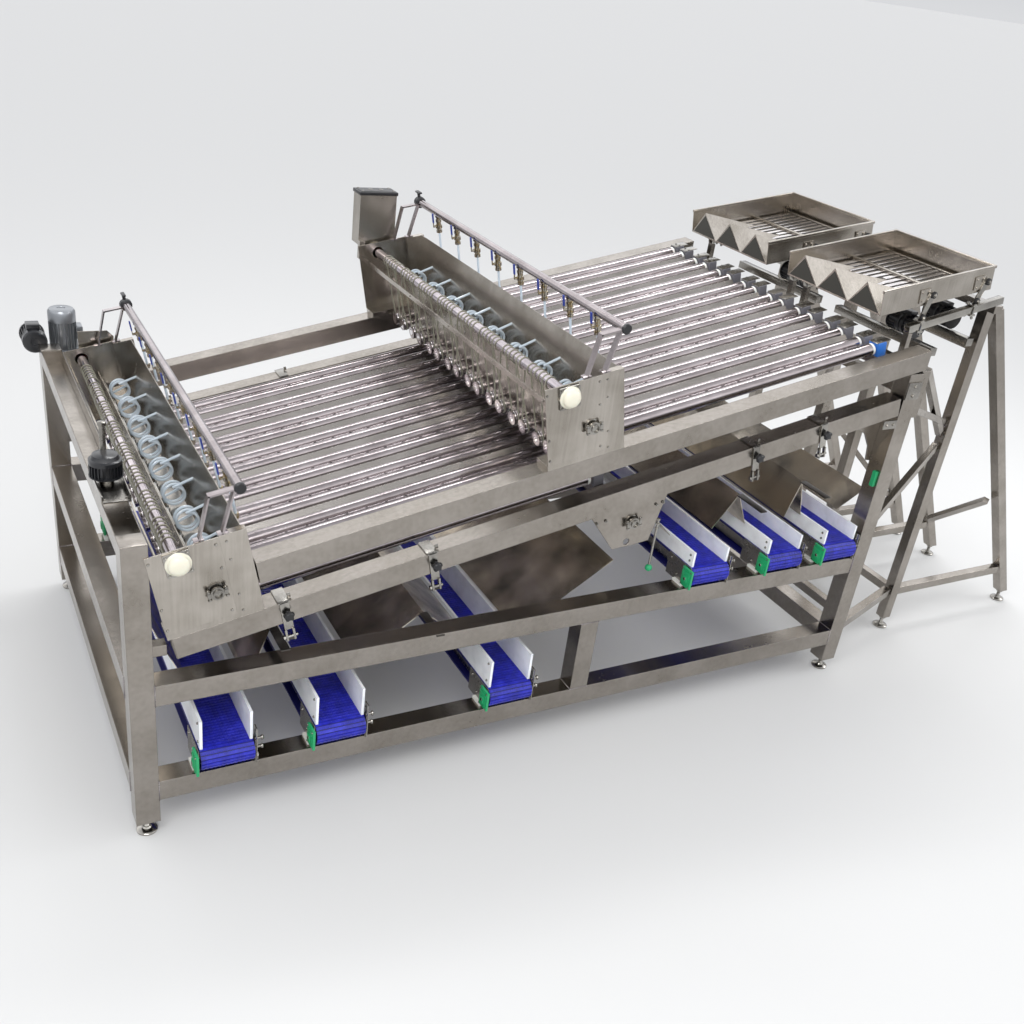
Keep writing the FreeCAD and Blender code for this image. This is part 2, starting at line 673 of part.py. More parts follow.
def side_guides(x, z, height):
    """White guides along both edges of a belt, their near corners cut off."""
    low = z + RAIL_CLEARANCE + belt_height + 2
    return [box("floor", (guide_x, -half_run - 14, low), 10, 2 * half_run + 28, height)
            for guide_x in (x + 2, x + belt_width - 12)]


node("belt_side_guides", [piece for x, z in CONVEYORS
                          for piece in side_guides(x, z, 118 if z < 400 else 66)])


def end_rollers(belts, level, side):
    """The rollers at one end of three belts, which turn on one line."""
    z = level + RAIL_CLEARANCE + belt_height / 2
    radius = belt_height / 2 - size("belt_thickness") - 0.5
    pieces = []
    for x in belts:
        drum = cylinder("floor", (x + 4, side * half_run, z), "x", radius, belt_width - 8)
        axle = cylinder("floor", (x - 5, side * half_run, z), "x", "dims.journal_radius",
                        belt_width + 10)
        pieces.append(joined([drum, axle]))
    return pieces


for level_name, belts, alias in (("low", LOW_BELTS, "base_rail"),
                                 ("high", HIGH_BELTS, "conveyor_rail")):
    level = size(alias) + size("tube")
    node(f"{level_name}_belt_drive_rollers", end_rollers(belts, level, 1))
    node(f"{level_name}_belt_end_rollers", end_rollers(belts, level, -1))


# Feeding trays: a floor, three walls, and three dividers that make four channels. A divider
# is tallest at the discharge edge and runs down to the floor.
DIVIDER_LENGTH = 330


def feeding_tray(side):
    length, width = size("tray_length"), size("tray_width")
    depth, thick = size("tray_depth"), size("sheet")
    low_y = side * size("tray_offset") - width / 2
    floor = box("tray", (0, low_y, 0), length, width, thick)
    walls = [box("tray", (0, y, thick), length, thick, depth - thick)
             for y in (low_y, low_y + width - thick)]
    walls.append(box("tray", (length - thick, low_y + thick, thick), thick, width - 2 * thick,
                     depth - thick))
    dividers = []
    channel = (width - 2 * thick) / 6
    for number in (1, 3, 5):
        peak_y = low_y + thick + channel * number
        left, peak, right, tail = (
            Vector(0, peak_y - channel + 2, thick), Vector(0, peak_y, depth + 10),
            Vector(0, peak_y + channel - 2, thick), Vector(DIVIDER_LENGTH, peak_y, thick))
        faces = [Part.Face(Part.makePolygon([a, b, c, a])) for a, b, c in (
            (left, peak, right), (left, right, tail), (left, tail, peak), (peak, tail, right))]
        ridge = doc.addObject("Part::Feature", "ridge")
        ridge.Shape = Part.Solid(Part.Shell(faces))
        dividers.append(put(ridge, "tray", "0", "0", "0"))
    return [floor, *walls, *dividers]


for name, side in (("front", -1), ("back", 1)):
    node(f"{name}_feeding_tray", feeding_tray(side))


# Tray mountings: sloping base bars, flat link arms, cross bars and the shaking motors.
def tray_drive(side):
    outer = side * (size("tray_offset") + size("tray_width") / 2)
    inner = side * (size("tray_offset") - size("tray_width") / 2)
    pieces = []
    for edge, away in ((outer, side), (inner, -side)):
        bar_y = edge + away * 26
        pieces.append(bar((3200, bar_y, 1636), (3740, bar_y, 1750), 32))
        arm_y = edge + away * 6
        for low_x, low_z, high_x, high_z in ((3290, 1678, 3318, 1776), (3600, 1742, 3634, 1828)):
            run = Vector(high_x - low_x, 0, high_z - low_z)
            turn = Rotation(Vector(0, 0, 1), run)
            low_y = arm_y - 4
            pieces.append(box("floor", (low_x - 14, low_y, low_z - 8), 28, 8, run.Length + 16,
                              turn))
    low_y, high_y = sorted((outer, inner))
    for x, z in ((3432, 1585), (3650, 1620)):
        pieces.append(cylinder("floor", (x, low_y + 110, z), "y", 48, 150))
        pieces.append(box("floor", (x - 20, low_y - 10, z - 88), 40, high_y - low_y + 20, 36))
    return pieces


node("tray_drives", tray_drive(-1) + tray_drive(1))

doc.recompute()
failed = [thing.Label for thing in doc.Objects
          if "Invalid" in thing.State or "Error" in thing.State]
if failed:
    raise SystemExit(f"objects that failed: {failed[:12]}")
for thing in nodes:
    if thing.Shape.isNull() or not thing.Shape.isValid():
        raise SystemExit(f"{thing.Label} has no valid shape")
os.makedirs("parts", exist_ok=True)
for thing in nodes:
    thing.Shape.exportStep(f"parts/{thing.Label}.step")
whole = nodes[0].Shape.BoundBox
for thing in nodes:
    whole.add(thing.Shape.BoundBox)
print(f"{len(nodes)} sub-parts, box x {whole.XMin:.0f}..{whole.XMax:.0f}, "
      f"y {whole.YMin:.0f}..{whole.YMax:.0f}, z {whole.ZMin:.0f}..{whole.ZMax:.0f}")
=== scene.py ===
import bpy, bmesh, json, math
from mathutils import Matrix, Vector


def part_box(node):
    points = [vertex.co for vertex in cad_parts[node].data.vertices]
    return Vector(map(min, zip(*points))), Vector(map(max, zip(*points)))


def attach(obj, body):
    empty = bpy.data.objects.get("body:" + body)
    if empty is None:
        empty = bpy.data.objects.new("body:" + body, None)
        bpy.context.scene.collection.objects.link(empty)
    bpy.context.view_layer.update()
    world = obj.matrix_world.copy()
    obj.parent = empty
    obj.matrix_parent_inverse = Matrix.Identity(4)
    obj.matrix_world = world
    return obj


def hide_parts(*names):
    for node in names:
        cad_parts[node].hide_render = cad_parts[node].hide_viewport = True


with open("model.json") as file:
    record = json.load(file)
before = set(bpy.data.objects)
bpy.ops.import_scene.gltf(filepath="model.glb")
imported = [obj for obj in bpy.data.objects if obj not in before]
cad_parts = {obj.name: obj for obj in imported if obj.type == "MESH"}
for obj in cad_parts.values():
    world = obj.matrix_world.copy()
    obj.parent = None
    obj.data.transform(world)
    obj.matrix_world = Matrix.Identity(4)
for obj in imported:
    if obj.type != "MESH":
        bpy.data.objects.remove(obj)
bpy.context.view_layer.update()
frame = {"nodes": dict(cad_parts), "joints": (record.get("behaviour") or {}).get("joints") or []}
cad_nodes = frame["nodes"]

# ---------------------------------------------------------------- camera, light and floor
# A studio: a pale floor, a bright ceiling that the polished steel mirrors, darker walls for
# contrast, one large soft light from the front left and a narrow one along the decks.
# Places are millimetres from FLOOR, the floor midway between the two left legs.
MM = 0.001
LEG_SIDE = 80
shafts = {joint["name"]: joint for joint in frame["joints"]}
first_shaft, last_shaft = (Vector(shafts[f"upper_roller_{number}_spin"]["pos_m"])
                           for number in ("01", "16"))
CENTRE_Y = (first_shaft.y + last_shaft.y) / 2
left_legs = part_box("side_frames")[0].x + LEG_SIDE / 2 * MM
FLOOR = Matrix.Translation(Vector((left_legs, CENTRE_Y, 0)))
CAMERA_PLACE = (-484.5, -3789.5, 2839.2)
CAMERA_AXIS = (2.0568, -0.4350, 0.4296)
LENS_MM, SENSOR_MM, LENS_SHIFT, VIEW_DEPTH = 38.07, 36, (-0.0113, 0.0350), 1500
camera_data = bpy.data.cameras.new("camera")
camera_data.lens, camera_data.sensor_width = LENS_MM, SENSOR_MM
camera_data.shift_x, camera_data.shift_y = LENS_SHIFT
camera_data.clip_end = VIEW_DEPTH
camera = bpy.data.objects.new("camera", camera_data)
bpy.context.collection.objects.link(camera)
world_to_lens = Matrix.Rotation(Vector(CAMERA_AXIS).length, 3, Vector(CAMERA_AXIS).normalized())
lens_turn = Matrix.Diagonal((1, -1, -1)) @ world_to_lens
camera.matrix_world = (Matrix.Translation(FLOOR @ (Vector(CAMERA_PLACE) * MM))
                       @ lens_turn.transposed().to_4x4())
bpy.context.scene.camera = camera
bpy.context.scene.view_settings.view_transform = "Standard"


def linear(hex_code):
    """An sRGB hex colour as the linear colour that shaders take."""
    channels = [int(hex_code[i:i + 2], 16) / 255 for i in (1, 3, 5)]
    return (*[c / 12.92 if c <= 0.04045 else ((c + 0.055) / 1.055) ** 2.4 for c in channels], 1)


def add_node(tree, kind, settings=(), inputs=(), links=(), stops=()):
    """One node with its settings, socket values, links and (position, hex) colour stops."""
    made = tree.nodes.new(kind)
    for name, value in dict(settings).items():
        setattr(made, name, value)
    for name, value in dict(inputs).items():
        made.inputs[name].default_value = value
    for name, source in dict(links).items():
        tree.links.new(source, made.inputs[name])
    if stops:
        elements = made.color_ramp.elements
        while len(elements) < len(stops):
            elements.new(0.5)
        for element, (position, hex_code) in zip(elements, stops):
            element.position, element.color = position, linear(hex_code)
    return made


def new_material(name):
    """An empty material and its tree."""
    material = bpy.data.materials.new(name)
    material.use_nodes = True
    material.node_tree.nodes.clear()
    return material, material.node_tree


def finish_material(tree, inputs, links=()):
    """Gives a material its surface and sends that to the output."""
    surface = add_node(tree, "ShaderNodeBsdfPrincipled", inputs=inputs, links=links)
    add_node(tree, "ShaderNodeOutputMaterial", links={"Surface": surface.outputs["BSDF"]})


def one_colour(name, hex_code, values):
    """A material of one colour all over."""
    material, tree = new_material(name)
    finish_material(tree, {"Base Color": linear(hex_code), **values})
    return material


floor_material = one_colour("pale_studio_floor", "#d0d0cf", {"Roughness": 0.9})
floor_mesh = bpy.data.meshes.new("studio_floor")
FLOOR_HALF = 600
floor_mesh.from_pydata([(x, y, -0.0005) for x, y in ((-FLOOR_HALF, -FLOOR_HALF),
                        (FLOOR_HALF, -FLOOR_HALF), (FLOOR_HALF, FLOOR_HALF),
                        (-FLOOR_HALF, FLOOR_HALF))], [], [(0, 1, 2, 3)])
floor_mesh.materials.append(floor_material)
floor = bpy.data.objects.new("studio_floor", floor_mesh)
bpy.context.collection.objects.link(floor)

world = bpy.data.worlds.new("studio_walls")
bpy.context.scene.world = world
world.use_nodes = True
tree = world.node_tree
tree.nodes.clear()
direction = add_node(tree, "ShaderNodeTexCoord").outputs["Generated"]
height = add_node(tree, "ShaderNodeSeparateXYZ", links={"Vector": direction}).outputs["Z"]
WALL_GLOW = 1.75
walls = add_node(tree, "ShaderNodeValToRGB", links={"Fac": height},
                 stops=[(0.0, "#a9aaac"), (0.10, "#96989c"), (0.26, "#ebedf1"),
                        (0.40, "#ffffff"), (0.62, "#dfe0e3"), (1.0, "#a6a7aa")])
sky = add_node(tree, "ShaderNodeBackground", inputs={"Strength": WALL_GLOW},
               links={"Color": walls.outputs["Color"]})
add_node(tree, "ShaderNodeOutputWorld", links={"Surface": sky.outputs["Background"]})

for name, place, target, length, width, watts in (
        ("key_softbox", (-3.2, -3.6, 4.6), (0, 0, 0.8), 3.0, 1.6, 110),
        ("ceiling_strip", (0.6, 1.2, 4.6), (0.2, 0, 0.9), 5.0, 0.5, 90),
        ("end_softbox", (5.4, -1.8, 3.2), (0.6, 0, 0.8), 2.0, 1.2, 60)):
    light_data = bpy.data.lights.new(name, "AREA")
    light_data.shape, light_data.size, light_data.size_y = "RECTANGLE", length, width
    light_data.energy = watts
    light = bpy.data.objects.new(name, light_data)
    bpy.context.collection.objects.link(light)
    light.location = place
    aim = Vector(target) - Vector(place)
    light.rotation_euler = aim.to_track_quat("-Z", "Y").to_euler()

# ---------------------------------------------------------------- welded frames and rails
# Square stainless tube, 3 mm wall, TIG welded at every joint and brushed afterwards, so it
# is dull along the grain and mottled with handling.


def steel(name, tint, dark, roughness, grain=(60, 60, 60), corner=0.0, polish=0.10, bump=0.02):
    """Stainless steel: metallic, its tone and gloss broken by grain and by soft smudges."""
    material, tree = new_material(name)
    place = add_node(tree, "ShaderNodeTexCoord").outputs["Object"]
    stretched = add_node(tree, "ShaderNodeMapping", inputs={"Scale": grain},
                         links={"Vector": place}).outputs["Vector"]
    streaks = add_node(tree, "ShaderNodeTexNoise", inputs={"Scale": 4.0, "Detail": 5.0},
                       links={"Vector": stretched}).outputs["Fac"]
    smudges = add_node(tree, "ShaderNodeTexNoise", inputs={"Scale": 7.0, "Detail": 4.0},
                       links={"Vector": place}).outputs["Fac"]
    both = add_node(tree, "ShaderNodeMath", {"operation": "MULTIPLY_ADD"}, {1: 0.45},
                    {0: streaks, 2: smudges}).outputs[0]
    colour = add_node(tree, "ShaderNodeValToRGB", links={"Fac": both},
                      stops=[(0.48, dark), (0.92, tint)]).outputs["Color"]
    gloss = add_node(tree, "ShaderNodeMapRange",
                     inputs={"From Min": 0.45, "From Max": 1.0, "To Min": roughness + polish,
                             "To Max": roughness - polish / 2},
                     links={"Value": both}).outputs["Result"]
    rounded = {}
    if corner:
        rounded = {"Normal": add_node(tree, "ShaderNodeBevel", {"samples": 4},
                                      {"Radius": corner * MM}).outputs["Normal"]}
    relief = add_node(tree, "ShaderNodeBump", inputs={"Strength": bump, "Distance": 0.0006},
                      links={"Height": streaks, **rounded}).outputs["Normal"]
    finish_material(tree, {"Metallic": 1.0},
                    {"Base Color": colour, "Roughness": gloss, "Normal": relief})
    return material


brushed_tube = steel("brushed_stainless_tube", "#a09a93", "#8d877f", 0.23, (14, 14, 14), corner=4,
                     polish=0.05, bump=0.0)


def dress(material, *names):
    """Gives nodes of the frame one material."""
    for name in names:
        materials = cad_nodes[name].data.materials
        materials.clear()
        materials.append(material)


dress(brushed_tube, "side_frames", "cross_members", "deck_rails", "infeed_stands")

# Caps close the open tube ends: the tops of the left legs and the ends of the deck rails.
# Each is a thin plate, welded on and ground flush.


def block(bm, low, high, turn=FLOOR, bevel=0.0):
    """Adds a box between two corners in millimetres of a frame, with rounded edges."""
    middle = (Vector(low) + Vector(high)) / 2
    spans = Vector(high) - Vector(low)
    made = bmesh.ops.create_cube(bm, size=1.0)["verts"]
    bmesh.ops.scale(bm, vec=spans, verts=made)
    bmesh.ops.translate(bm, vec=middle, verts=made)
    if bevel:
        edges = {edge for vert in made for edge in vert.link_edges}
        result = bmesh.ops.bevel(bm, geom=list(edges), offset=bevel, segments=2, profile=0.6,
                                 affect="EDGES")
        made = connected({vert for face in result["faces"] for vert in face.verts})
    place_verts(made, turn)
    return made


def connected(verts):
    """Every vertex joined to these by edges."""
    seen, queue = set(verts), list(verts)
    while queue:
        for edge in queue.pop().link_edges:
            for vert in edge.verts:
                if vert not in seen:
                    seen.add(vert)
                    queue.append(vert)
    return list(seen)


def place_verts(verts, turn):
    """Takes millimetres of a frame to metres of the whole machine."""
    for vert in verts:
        vert.co = turn @ (vert.co * MM)


def lathe(bm, profile, start, end, turn=FLOOR, sides=20):
    """Adds a turned piece: (distance, radius) steps along the line from start to end."""
    start, end = Vector(start), Vector(end)
    run = end - start
    lean = run.to_track_quat("Z", "Y").to_matrix()
    rings = []
    for distance, radius in profile:
        centre = start + run.normalized() * distance
        if radius <= 0:
            rings.append([bm.verts.new(centre)])
            continue
        rings.append([bm.verts.new(centre + lean @ Vector((
            radius * math.cos(2 * math.pi * side / sides),
            radius * math.sin(2 * math.pi * side / sides), 0))) for side in range(sides)])
    for lower, upper in zip(rings, rings[1:]):
        for side in range(sides):
            beside = (side + 1) % sides
            corners = [lower[side % len(lower)], lower[beside % len(lower)],
                       upper[beside % len(upper)], upper[side % len(upper)]]
            unique = list(dict.fromkeys(corners))
            if len(unique) > 2:
                bm.faces.new(unique)
    if len(rings[0]) > 1:
        bm.faces.new(rings[0][::-1])
    if len(rings[-1]) > 1:
        bm.faces.new(rings[-1])
    made = [vert for ring in rings for vert in ring]
    place_verts(made, turn)
    return made


def rod(bm, start, end, radius, turn=FLOOR, sides=16, chamfer=1.0):
    """Adds a round bar with chamfered ends."""
    length = (Vector(end) - Vector(start)).length
    chamfer = min(chamfer, radius / 2, length / 4)
    lathe(bm, [(0, radius - chamfer), (chamfer, radius), (length - chamfer, radius),
               (length, radius - chamfer)], start, end, turn, sides)


def mesh_object(name, bm, smooth=True):
    """A mesh object of the geometry gathered so far, smooth but for its sharp edges."""
    mesh = bpy.data.meshes.new(name)
    bmesh.ops.recalc_face_normals(bm, faces=bm.faces)
    bm.to_mesh(mesh)
    bm.free()
    if smooth:
        mesh.polygons.foreach_set("use_smooth", [True] * len(mesh.polygons))
        mesh.set_sharp_from_angle(angle=math.radians(35))
    made = bpy.data.objects.new(name, mesh)
    bpy.context.collection.objects.link(made)
    return made


def piece(name, bm, material, body="machine", smooth=True, stands_for=()):
    """Makes a mesh object that is shown, and lets it ride on a body."""
    made = mesh_object(name, bm, smooth)
    made.data.materials.append(material)
    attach(made, body)
    if stands_for:
        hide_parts(*stands_for)
    return made


def deck_frame(deck):
    """Millimetres along a deck from its pulley line, across from the middle, and above it."""
    shaft = shafts[f"{deck}_roller_01_spin"]
    along = Vector(shaft["axis"]).normalized()
    above = along.cross(Vector((0, 1, 0)))
    turn = Matrix((along, (0, 1, 0), above)).transposed().to_4x4()
    place = Vector(shaft["pos_m"])
    place.y = CENTRE_Y
    return Matrix.Translation(place) @ turn


DECKS = {deck: deck_frame(deck) for deck in ("upper", "lower")}
LOWER_START = 184                         # the lower pulley line, along its deck
LEG_ROW, HALF_TUBE, PLATE = 840, LEG_SIDE / 2, 3
LEG_TOP, LOWER_RAIL_START = 1155, 102
RAIL_END_X, RAIL_END_LOW, RAIL_END_HIGH = 3175, 1522.3, 1604
bm = bmesh.new()
for y in (-LEG_ROW, LEG_ROW):
    near, far = y - HALF_TUBE, y + HALF_TUBE
    block(bm, (-HALF_TUBE, near, LEG_TOP), (HALF_TUBE, far, LEG_TOP + PLATE), bevel=1.2)
    block(bm, (RAIL_END_X, near, RAIL_END_LOW), (RAIL_END_X + 1.8, far, RAIL_END_HIGH))
    across = LOWER_RAIL_START - LOWER_START
    block(bm, (across - PLATE, near, -LEG_SIDE), (across, far, 0), DECKS["lower"], 1.2)
piece("tube_end_caps", bm, brushed_tube)

# ---------------------------------------------------------------- weld beads
# Each joint of the frame is TIG welded all round: a low rippled bead, a little bluer than
# the tube, laid along the joint line as overlapping drops.
BEAD_STEP, BEAD_RADIUS = 9, 3.2
RIGHT_LEG, MIDDLE_POST, RAIL_CENTRES, POST_ENDS = 3137, 1704, (195, 593), (235, 553)
DECK_BEAMS, BEAM_UP, BEAM_SIDE = (120, 1560), -58, 40     # along a deck and from its plane
weld_metal = steel("tig_weld_bead", "#a39e9c", "#6b6470", 0.30, (40, 40, 40))


def drops_along(name, loops, step, drop, material):
    """Geometry Nodes: copies of a drop set at equal steps along closed or open lines."""
    curve = bpy.data.curves.new(name + "_lines", "CURVE")
    curve.dimensions = "3D"
    for points, closed in loops:
        spline = curve.splines.new("POLY")
        spline.points.add(len(points) - 1)
        for spot, place in zip(spline.points, points):
            spot.co = (*place, 1)
        spline.use_cyclic_u = closed
    line = bpy.data.objects.new(name + "_lines", curve)
    bpy.context.collection.objects.link(line)
    tree = bpy.data.node_groups.new(name + "_nodes", "GeometryNodeTree")
    for label, kind, way in (("Lines", "NodeSocketGeometry", "INPUT"),
                             ("Step", "NodeSocketFloat", "INPUT"),
                             ("Drop", "NodeSocketObject", "INPUT"),
                             ("Geometry", "NodeSocketGeometry", "OUTPUT")):
        tree.interface.new_socket(label, in_out=way, socket_type=kind)
    entry = add_node(tree, "NodeGroupInput").outputs
    spots = add_node(tree, "GeometryNodeCurveToPoints", {"mode": "LENGTH"},
                     links={"Curve": entry["Lines"], "Length": entry["Step"]})
    drop_info = add_node(tree, "GeometryNodeObjectInfo", links={"Object": entry["Drop"]})
    copies = add_node(tree, "GeometryNodeInstanceOnPoints",
                      links={"Points": spots.outputs["Points"],
                             "Instance": drop_info.outputs["Geometry"],
                             "Rotation": spots.outputs["Rotation"]})
    real = add_node(tree, "GeometryNodeRealizeInstances",
                    links={"Geometry": copies.outputs["Instances"]})
    painted = add_node(tree, "GeometryNodeSetMaterial", inputs={"Material": material},
                       links={"Geometry": real.outputs["Geometry"]})
    add_node(tree, "NodeGroupOutput", links={"Geometry": painted.outputs["Geometry"]})
    return plain_mesh(name, line, tree, {"Step": step * MM, "Drop": drop}, material)


def plain_mesh(name, base, tree, values, material):
    """Runs a Geometry Nodes tree on an object and keeps the result as a plain mesh object."""
    modifier = base.modifiers.new(tree.name, "NODES")
    modifier.node_group = tree
    for item in tree.interface.items_tree:
        if item.in_out == "INPUT" and item.name in values:
            modifier[item.identifier] = values[item.name]
    bpy.context.view_layer.update()
    evaluated = base.evaluated_get(bpy.context.evaluated_depsgraph_get())
    mesh = bpy.data.meshes.new_from_object(evaluated)
    base.modifiers.remove(modifier)
    bpy.data.objects.remove(base)
    for used in [value for value in values.values() if isinstance(value, bpy.types.Object)]:
        bpy.data.objects.remove(used)
    mesh.name = name
    mesh.materials.clear()
    mesh.materials.append(material)
    made = bpy.data.objects.new(name, mesh)
    bpy.context.collection.objects.link(made)
    return made


def weld_square(centre, axis, side, turn=FLOOR):
    """The closed line where a square tube meets a face across its axis."""
    half = side / 2
    spots = []
    for first, second in ((-half, -half), (half, -half), (half, half), (-half, half)):
        corner = {"x": (0, first, second), "y": (first, 0, second), "z": (first, second, 0)}[axis]
        spots.append(turn @ ((Vector(centre) + Vector(corner)) * MM))
    return spots, True


welds = []
for side in (-1, 1):
    y, inner = side * LEG_ROW, side * (LEG_ROW - HALF_TUBE)
    for leg_x, inside in ((0, HALF_TUBE), (RIGHT_LEG, -HALF_TUBE)):
        for rail_z in RAIL_CENTRES:
            welds.append(weld_square((leg_x + inside, y, rail_z), "x", LEG_SIDE))
    for rail_z in POST_ENDS:
        welds.append(weld_square((MIDDLE_POST, y, rail_z), "z", LEG_SIDE))
    for leg_x in (0, RIGHT_LEG):
        for rail_z in RAIL_CENTRES:
            welds.append(weld_square((leg_x, inner, rail_z), "y", LEG_SIDE))
    for turn in DECKS.values():
        for beam in DECK_BEAMS:
            welds.append(weld_square((beam, inner, BEAM_UP), "y", BEAM_SIDE, turn))
bm = bmesh.new()
bmesh.ops.create_icosphere(bm, subdivisions=1, radius=BEAD_RADIUS * MM,
                           matrix=Matrix.Diagonal((1, 1, 1.5, 1)))
beads = drops_along("weld_beads", welds, BEAD_STEP, mesh_object("weld_drop", bm), weld_metal)
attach(beads, "machine")

# ---------------------------------------------------------------- levelling feet
# Each foot is a turned stainless disc with a domed top, screwed into the leg on a threaded
# stem and locked by a hexagon nut.
STAND_LEGS, STAND_ROWS = (3727, 4637), (-656, -132, 132, 656)
FOOT_PLACES = [(x, y) for x in (0, RIGHT_LEG) for y in (-LEG_ROW, LEG_ROW)]
FOOT_PLACES += [(x, y) for x in STAND_LEGS for y in STAND_ROWS]
polished = steel("turned_stainless", "#aaa7a1", "#7f7c77", 0.20, (30, 30, 30))
THREAD_PITCH = 3
bm = bmesh.new()
thread = [(18 + turn * THREAD_PITCH + part, radius) for turn in range(13)
          for part, radius in ((0, 8.2), (1.5, 9.4))]
for x, y in FOOT_PLACES:
    lathe(bm, [(0, 34), (1, 36), (6, 36), (9, 33), (13, 16), (18, 12), *thread, (59, 8.2)],
          (x, y, 0), (x, y, 60), sides=28)
    lathe(bm, [(0, 15), (1.5, 17), (9.5, 17), (11, 15)], (x, y, 46), (x, y, 57), sides=6)
piece("levelling_feet_turned", bm, polished, stands_for=["levelling_feet"])

# ---------------------------------------------------------------- rollers and line shafts
# Rollers are drawn stainless tube, centreless polished, with turned pulleys; the line shafts
# are solid bar. Fine drawing lines run along the tube and product film dulls it in patches.
roller_steel = steel("polished_roller_tube", "#b0a8a9", "#8f8788", 0.19, (1, 38, 38), polish=0.05,
                     bump=0.003)
mirror_steel = steel("turned_pulley_bar", "#c4bcc0", "#a0989c", 0.12, (90, 12, 12), polish=0.05)
for name in cad_nodes:
    if "_roller_" in name or name.endswith("line_shaft") or name.endswith("rollers"):
        dress(mirror_steel if "shaft" in name else roller_steel, name)

# White nylon collars close the feeding end of each roller, beside its bearing block.
nylon = one_colour("white_nylon", "#e9e7e2", {"Roughness": 0.42, "Subsurface Weight": 0.05})
ROLLER_TUBE_END = 1517                    # from the pulley line
ROLLER_PITCHES = [(Vector(shafts[f"upper_roller_{number:02d}_spin"]["pos_m"]).y - CENTRE_Y) / MM
                  for number in range(1, 17)]
for deck in DECKS:
    for number, y in enumerate(ROLLER_PITCHES, start=1):
        bm = bmesh.new()
        lathe(bm, [(0, 22), (0.6, 25.2), (11, 25.2), (15, 21), (15.2, 11)],
              (ROLLER_TUBE_END + 0.4, y, 0), (ROLLER_TUBE_END + 20, y, 0), DECKS[deck], 24)
        piece(f"{deck}_collar_{number:02d}", bm, nylon, f"{deck}_roller_{number:02d}")

# ---------------------------------------------------------------- round drive belts
# Clear polyurethane cord, 6 mm, welded into loops. Each loop hangs in a groove of the line
# shaft and makes a quarter turn to run under the roller's pulley.
cord_clear = one_colour("polyurethane_cord", "#b3b19f",
                        {"Roughness": 0.20, "Transmission Weight": 0.55, "IOR": 1.5,
                         "Coat Weight": 0.5})
SHAFT_UP, SHAFT_BACK = 268, -4            # the line shaft, from the pulley line
SHAFT_RADIUS, PULLEY_RADIUS, CORD_RADIUS = 20, 27, 3


def sweep(bm, path, radius, turn=FLOOR, sides=8, closed=False):
    """Adds a round tube along a line of points, its section carried without twisting."""
    spots = [Vector(p) for p in path]
    count = len(spots)
    rings, normal = [], None
    for i, spot in enumerate(spots):
        before = spots[i - 1] if i or closed else spot
        after = spots[(i + 1) % count] if i + 1 < count or closed else spot
        ahead = (after - before).normalized()
        if normal is None:
            normal = ahead.orthogonal().normalized()
        normal = (normal - ahead * normal.dot(ahead)).normalized()
        across = ahead.cross(normal)
        rings.append([bm.verts.new(turn @ ((spot + radius * (
            math.cos(2 * math.pi * k / sides) * normal
            + math.sin(2 * math.pi * k / sides) * across)) * MM)) for k in range(sides)])
    pairs = list(zip(rings, rings[1:]))
    for lower, upper in pairs:
        for k in range(sides):
            bm.faces.new((lower[k], lower[(k + 1) % sides], upper[(k + 1) % sides], upper[k]))
    if closed:
        shift = min(range(sides), key=lambda k: (rings[0][k].co - rings[-1][0].co).length)
        for k in range(sides):
            first, second = rings[0][(k + shift) % sides], rings[0][(k + 1 + shift) % sides]
            bm.faces.new((rings[-1][k], rings[-1][(k + 1) % sides], second, first))
    else:
        bm.faces.new(rings[0][::-1])
        bm.faces.new(rings[-1])


def cord_loop(hand, y):
    """A closed line over the line shaft and under one pulley."""
    steps = [math.pi * k / 10 for k in range(11)]
    over = [(SHAFT_BACK - SHAFT_RADIUS * math.cos(a), y, SHAFT_UP + SHAFT_RADIUS * math.sin(a))
            for a in steps]
    under = [(0, y + hand * PULLEY_RADIUS * math.cos(a), -PULLEY_RADIUS * math.sin(a))
             for a in steps]

    def between(a, b):
        return [tuple(Vector(a).lerp(Vector(b), k / 6)) for k in range(1, 6)]
    return over + between(over[-1], under[0]) + under + between(under[-1], over[0])


bm = bmesh.new()
for turn in DECKS.values():
    for number, y in enumerate(ROLLER_PITCHES):
        sweep(bm, cord_loop(-1 if number % 2 else 1, y), CORD_RADIUS, turn, 8, True)
piece("drive_cords", bm, cord_clear, stands_for=["roller_drive_belts"])

# Spare cords wait on each line shaft between the working ones and turn with it, because a
# new one can't be threaded on without taking the shaft out.
SPARE_OFFSETS = (-27, 27)
for deck, turn in DECKS.items():
    bm = bmesh.new()
    for y in ROLLER_PITCHES:
        for offset in SPARE_OFFSETS:
            spare = [(SHAFT_BACK + (SHAFT_RADIUS + 2) * math.cos(math.pi * k / 10), y + offset,
                      SHAFT_UP + (SHAFT_RADIUS + 2) * math.sin(math.pi * k / 10))
                     for k in range(20)]
            sweep(bm, spare, CORD_RADIUS - 1, turn, 6, True)
    piece(f"{deck}_spare_cords", bm, cord_clear, f"{deck}_line_shaft")

# ---------------------------------------------------------------- lane dividers, spray pipes
# The gap between one pair of rollers and the next is roofed by a folded sheet, and a thin
# drilled pipe lies in every lane; its drillings are drawn as slots, coarse enough to show.
sheet_metal = steel("cold_rolled_sheet", "#a5a09b", "#87837e", 0.24, (3, 22, 22), corner=1.5,
                    bump=0.006)
dress(sheet_metal, "lane_dividers")
dress(roller_steel, "spray_pipes")
dark_hole = one_colour("drilled_hole_shadow", "#1b1a19", {"Roughness": 0.8})
SLOT_STEP, SLOT_SIDE, SLOT_UP = 74, 6.4, 6.2
LANES = [(ROLLER_PITCHES[2 * lane] + ROLLER_PITCHES[2 * lane + 1]) / 2 for lane in range(8)]
spray_lines = [([turn @ (Vector((along, lane + SLOT_SIDE, SLOT_UP)) * MM)
                 for along in (110, 1500)], False)
               for turn in DECKS.values() for lane in LANES]
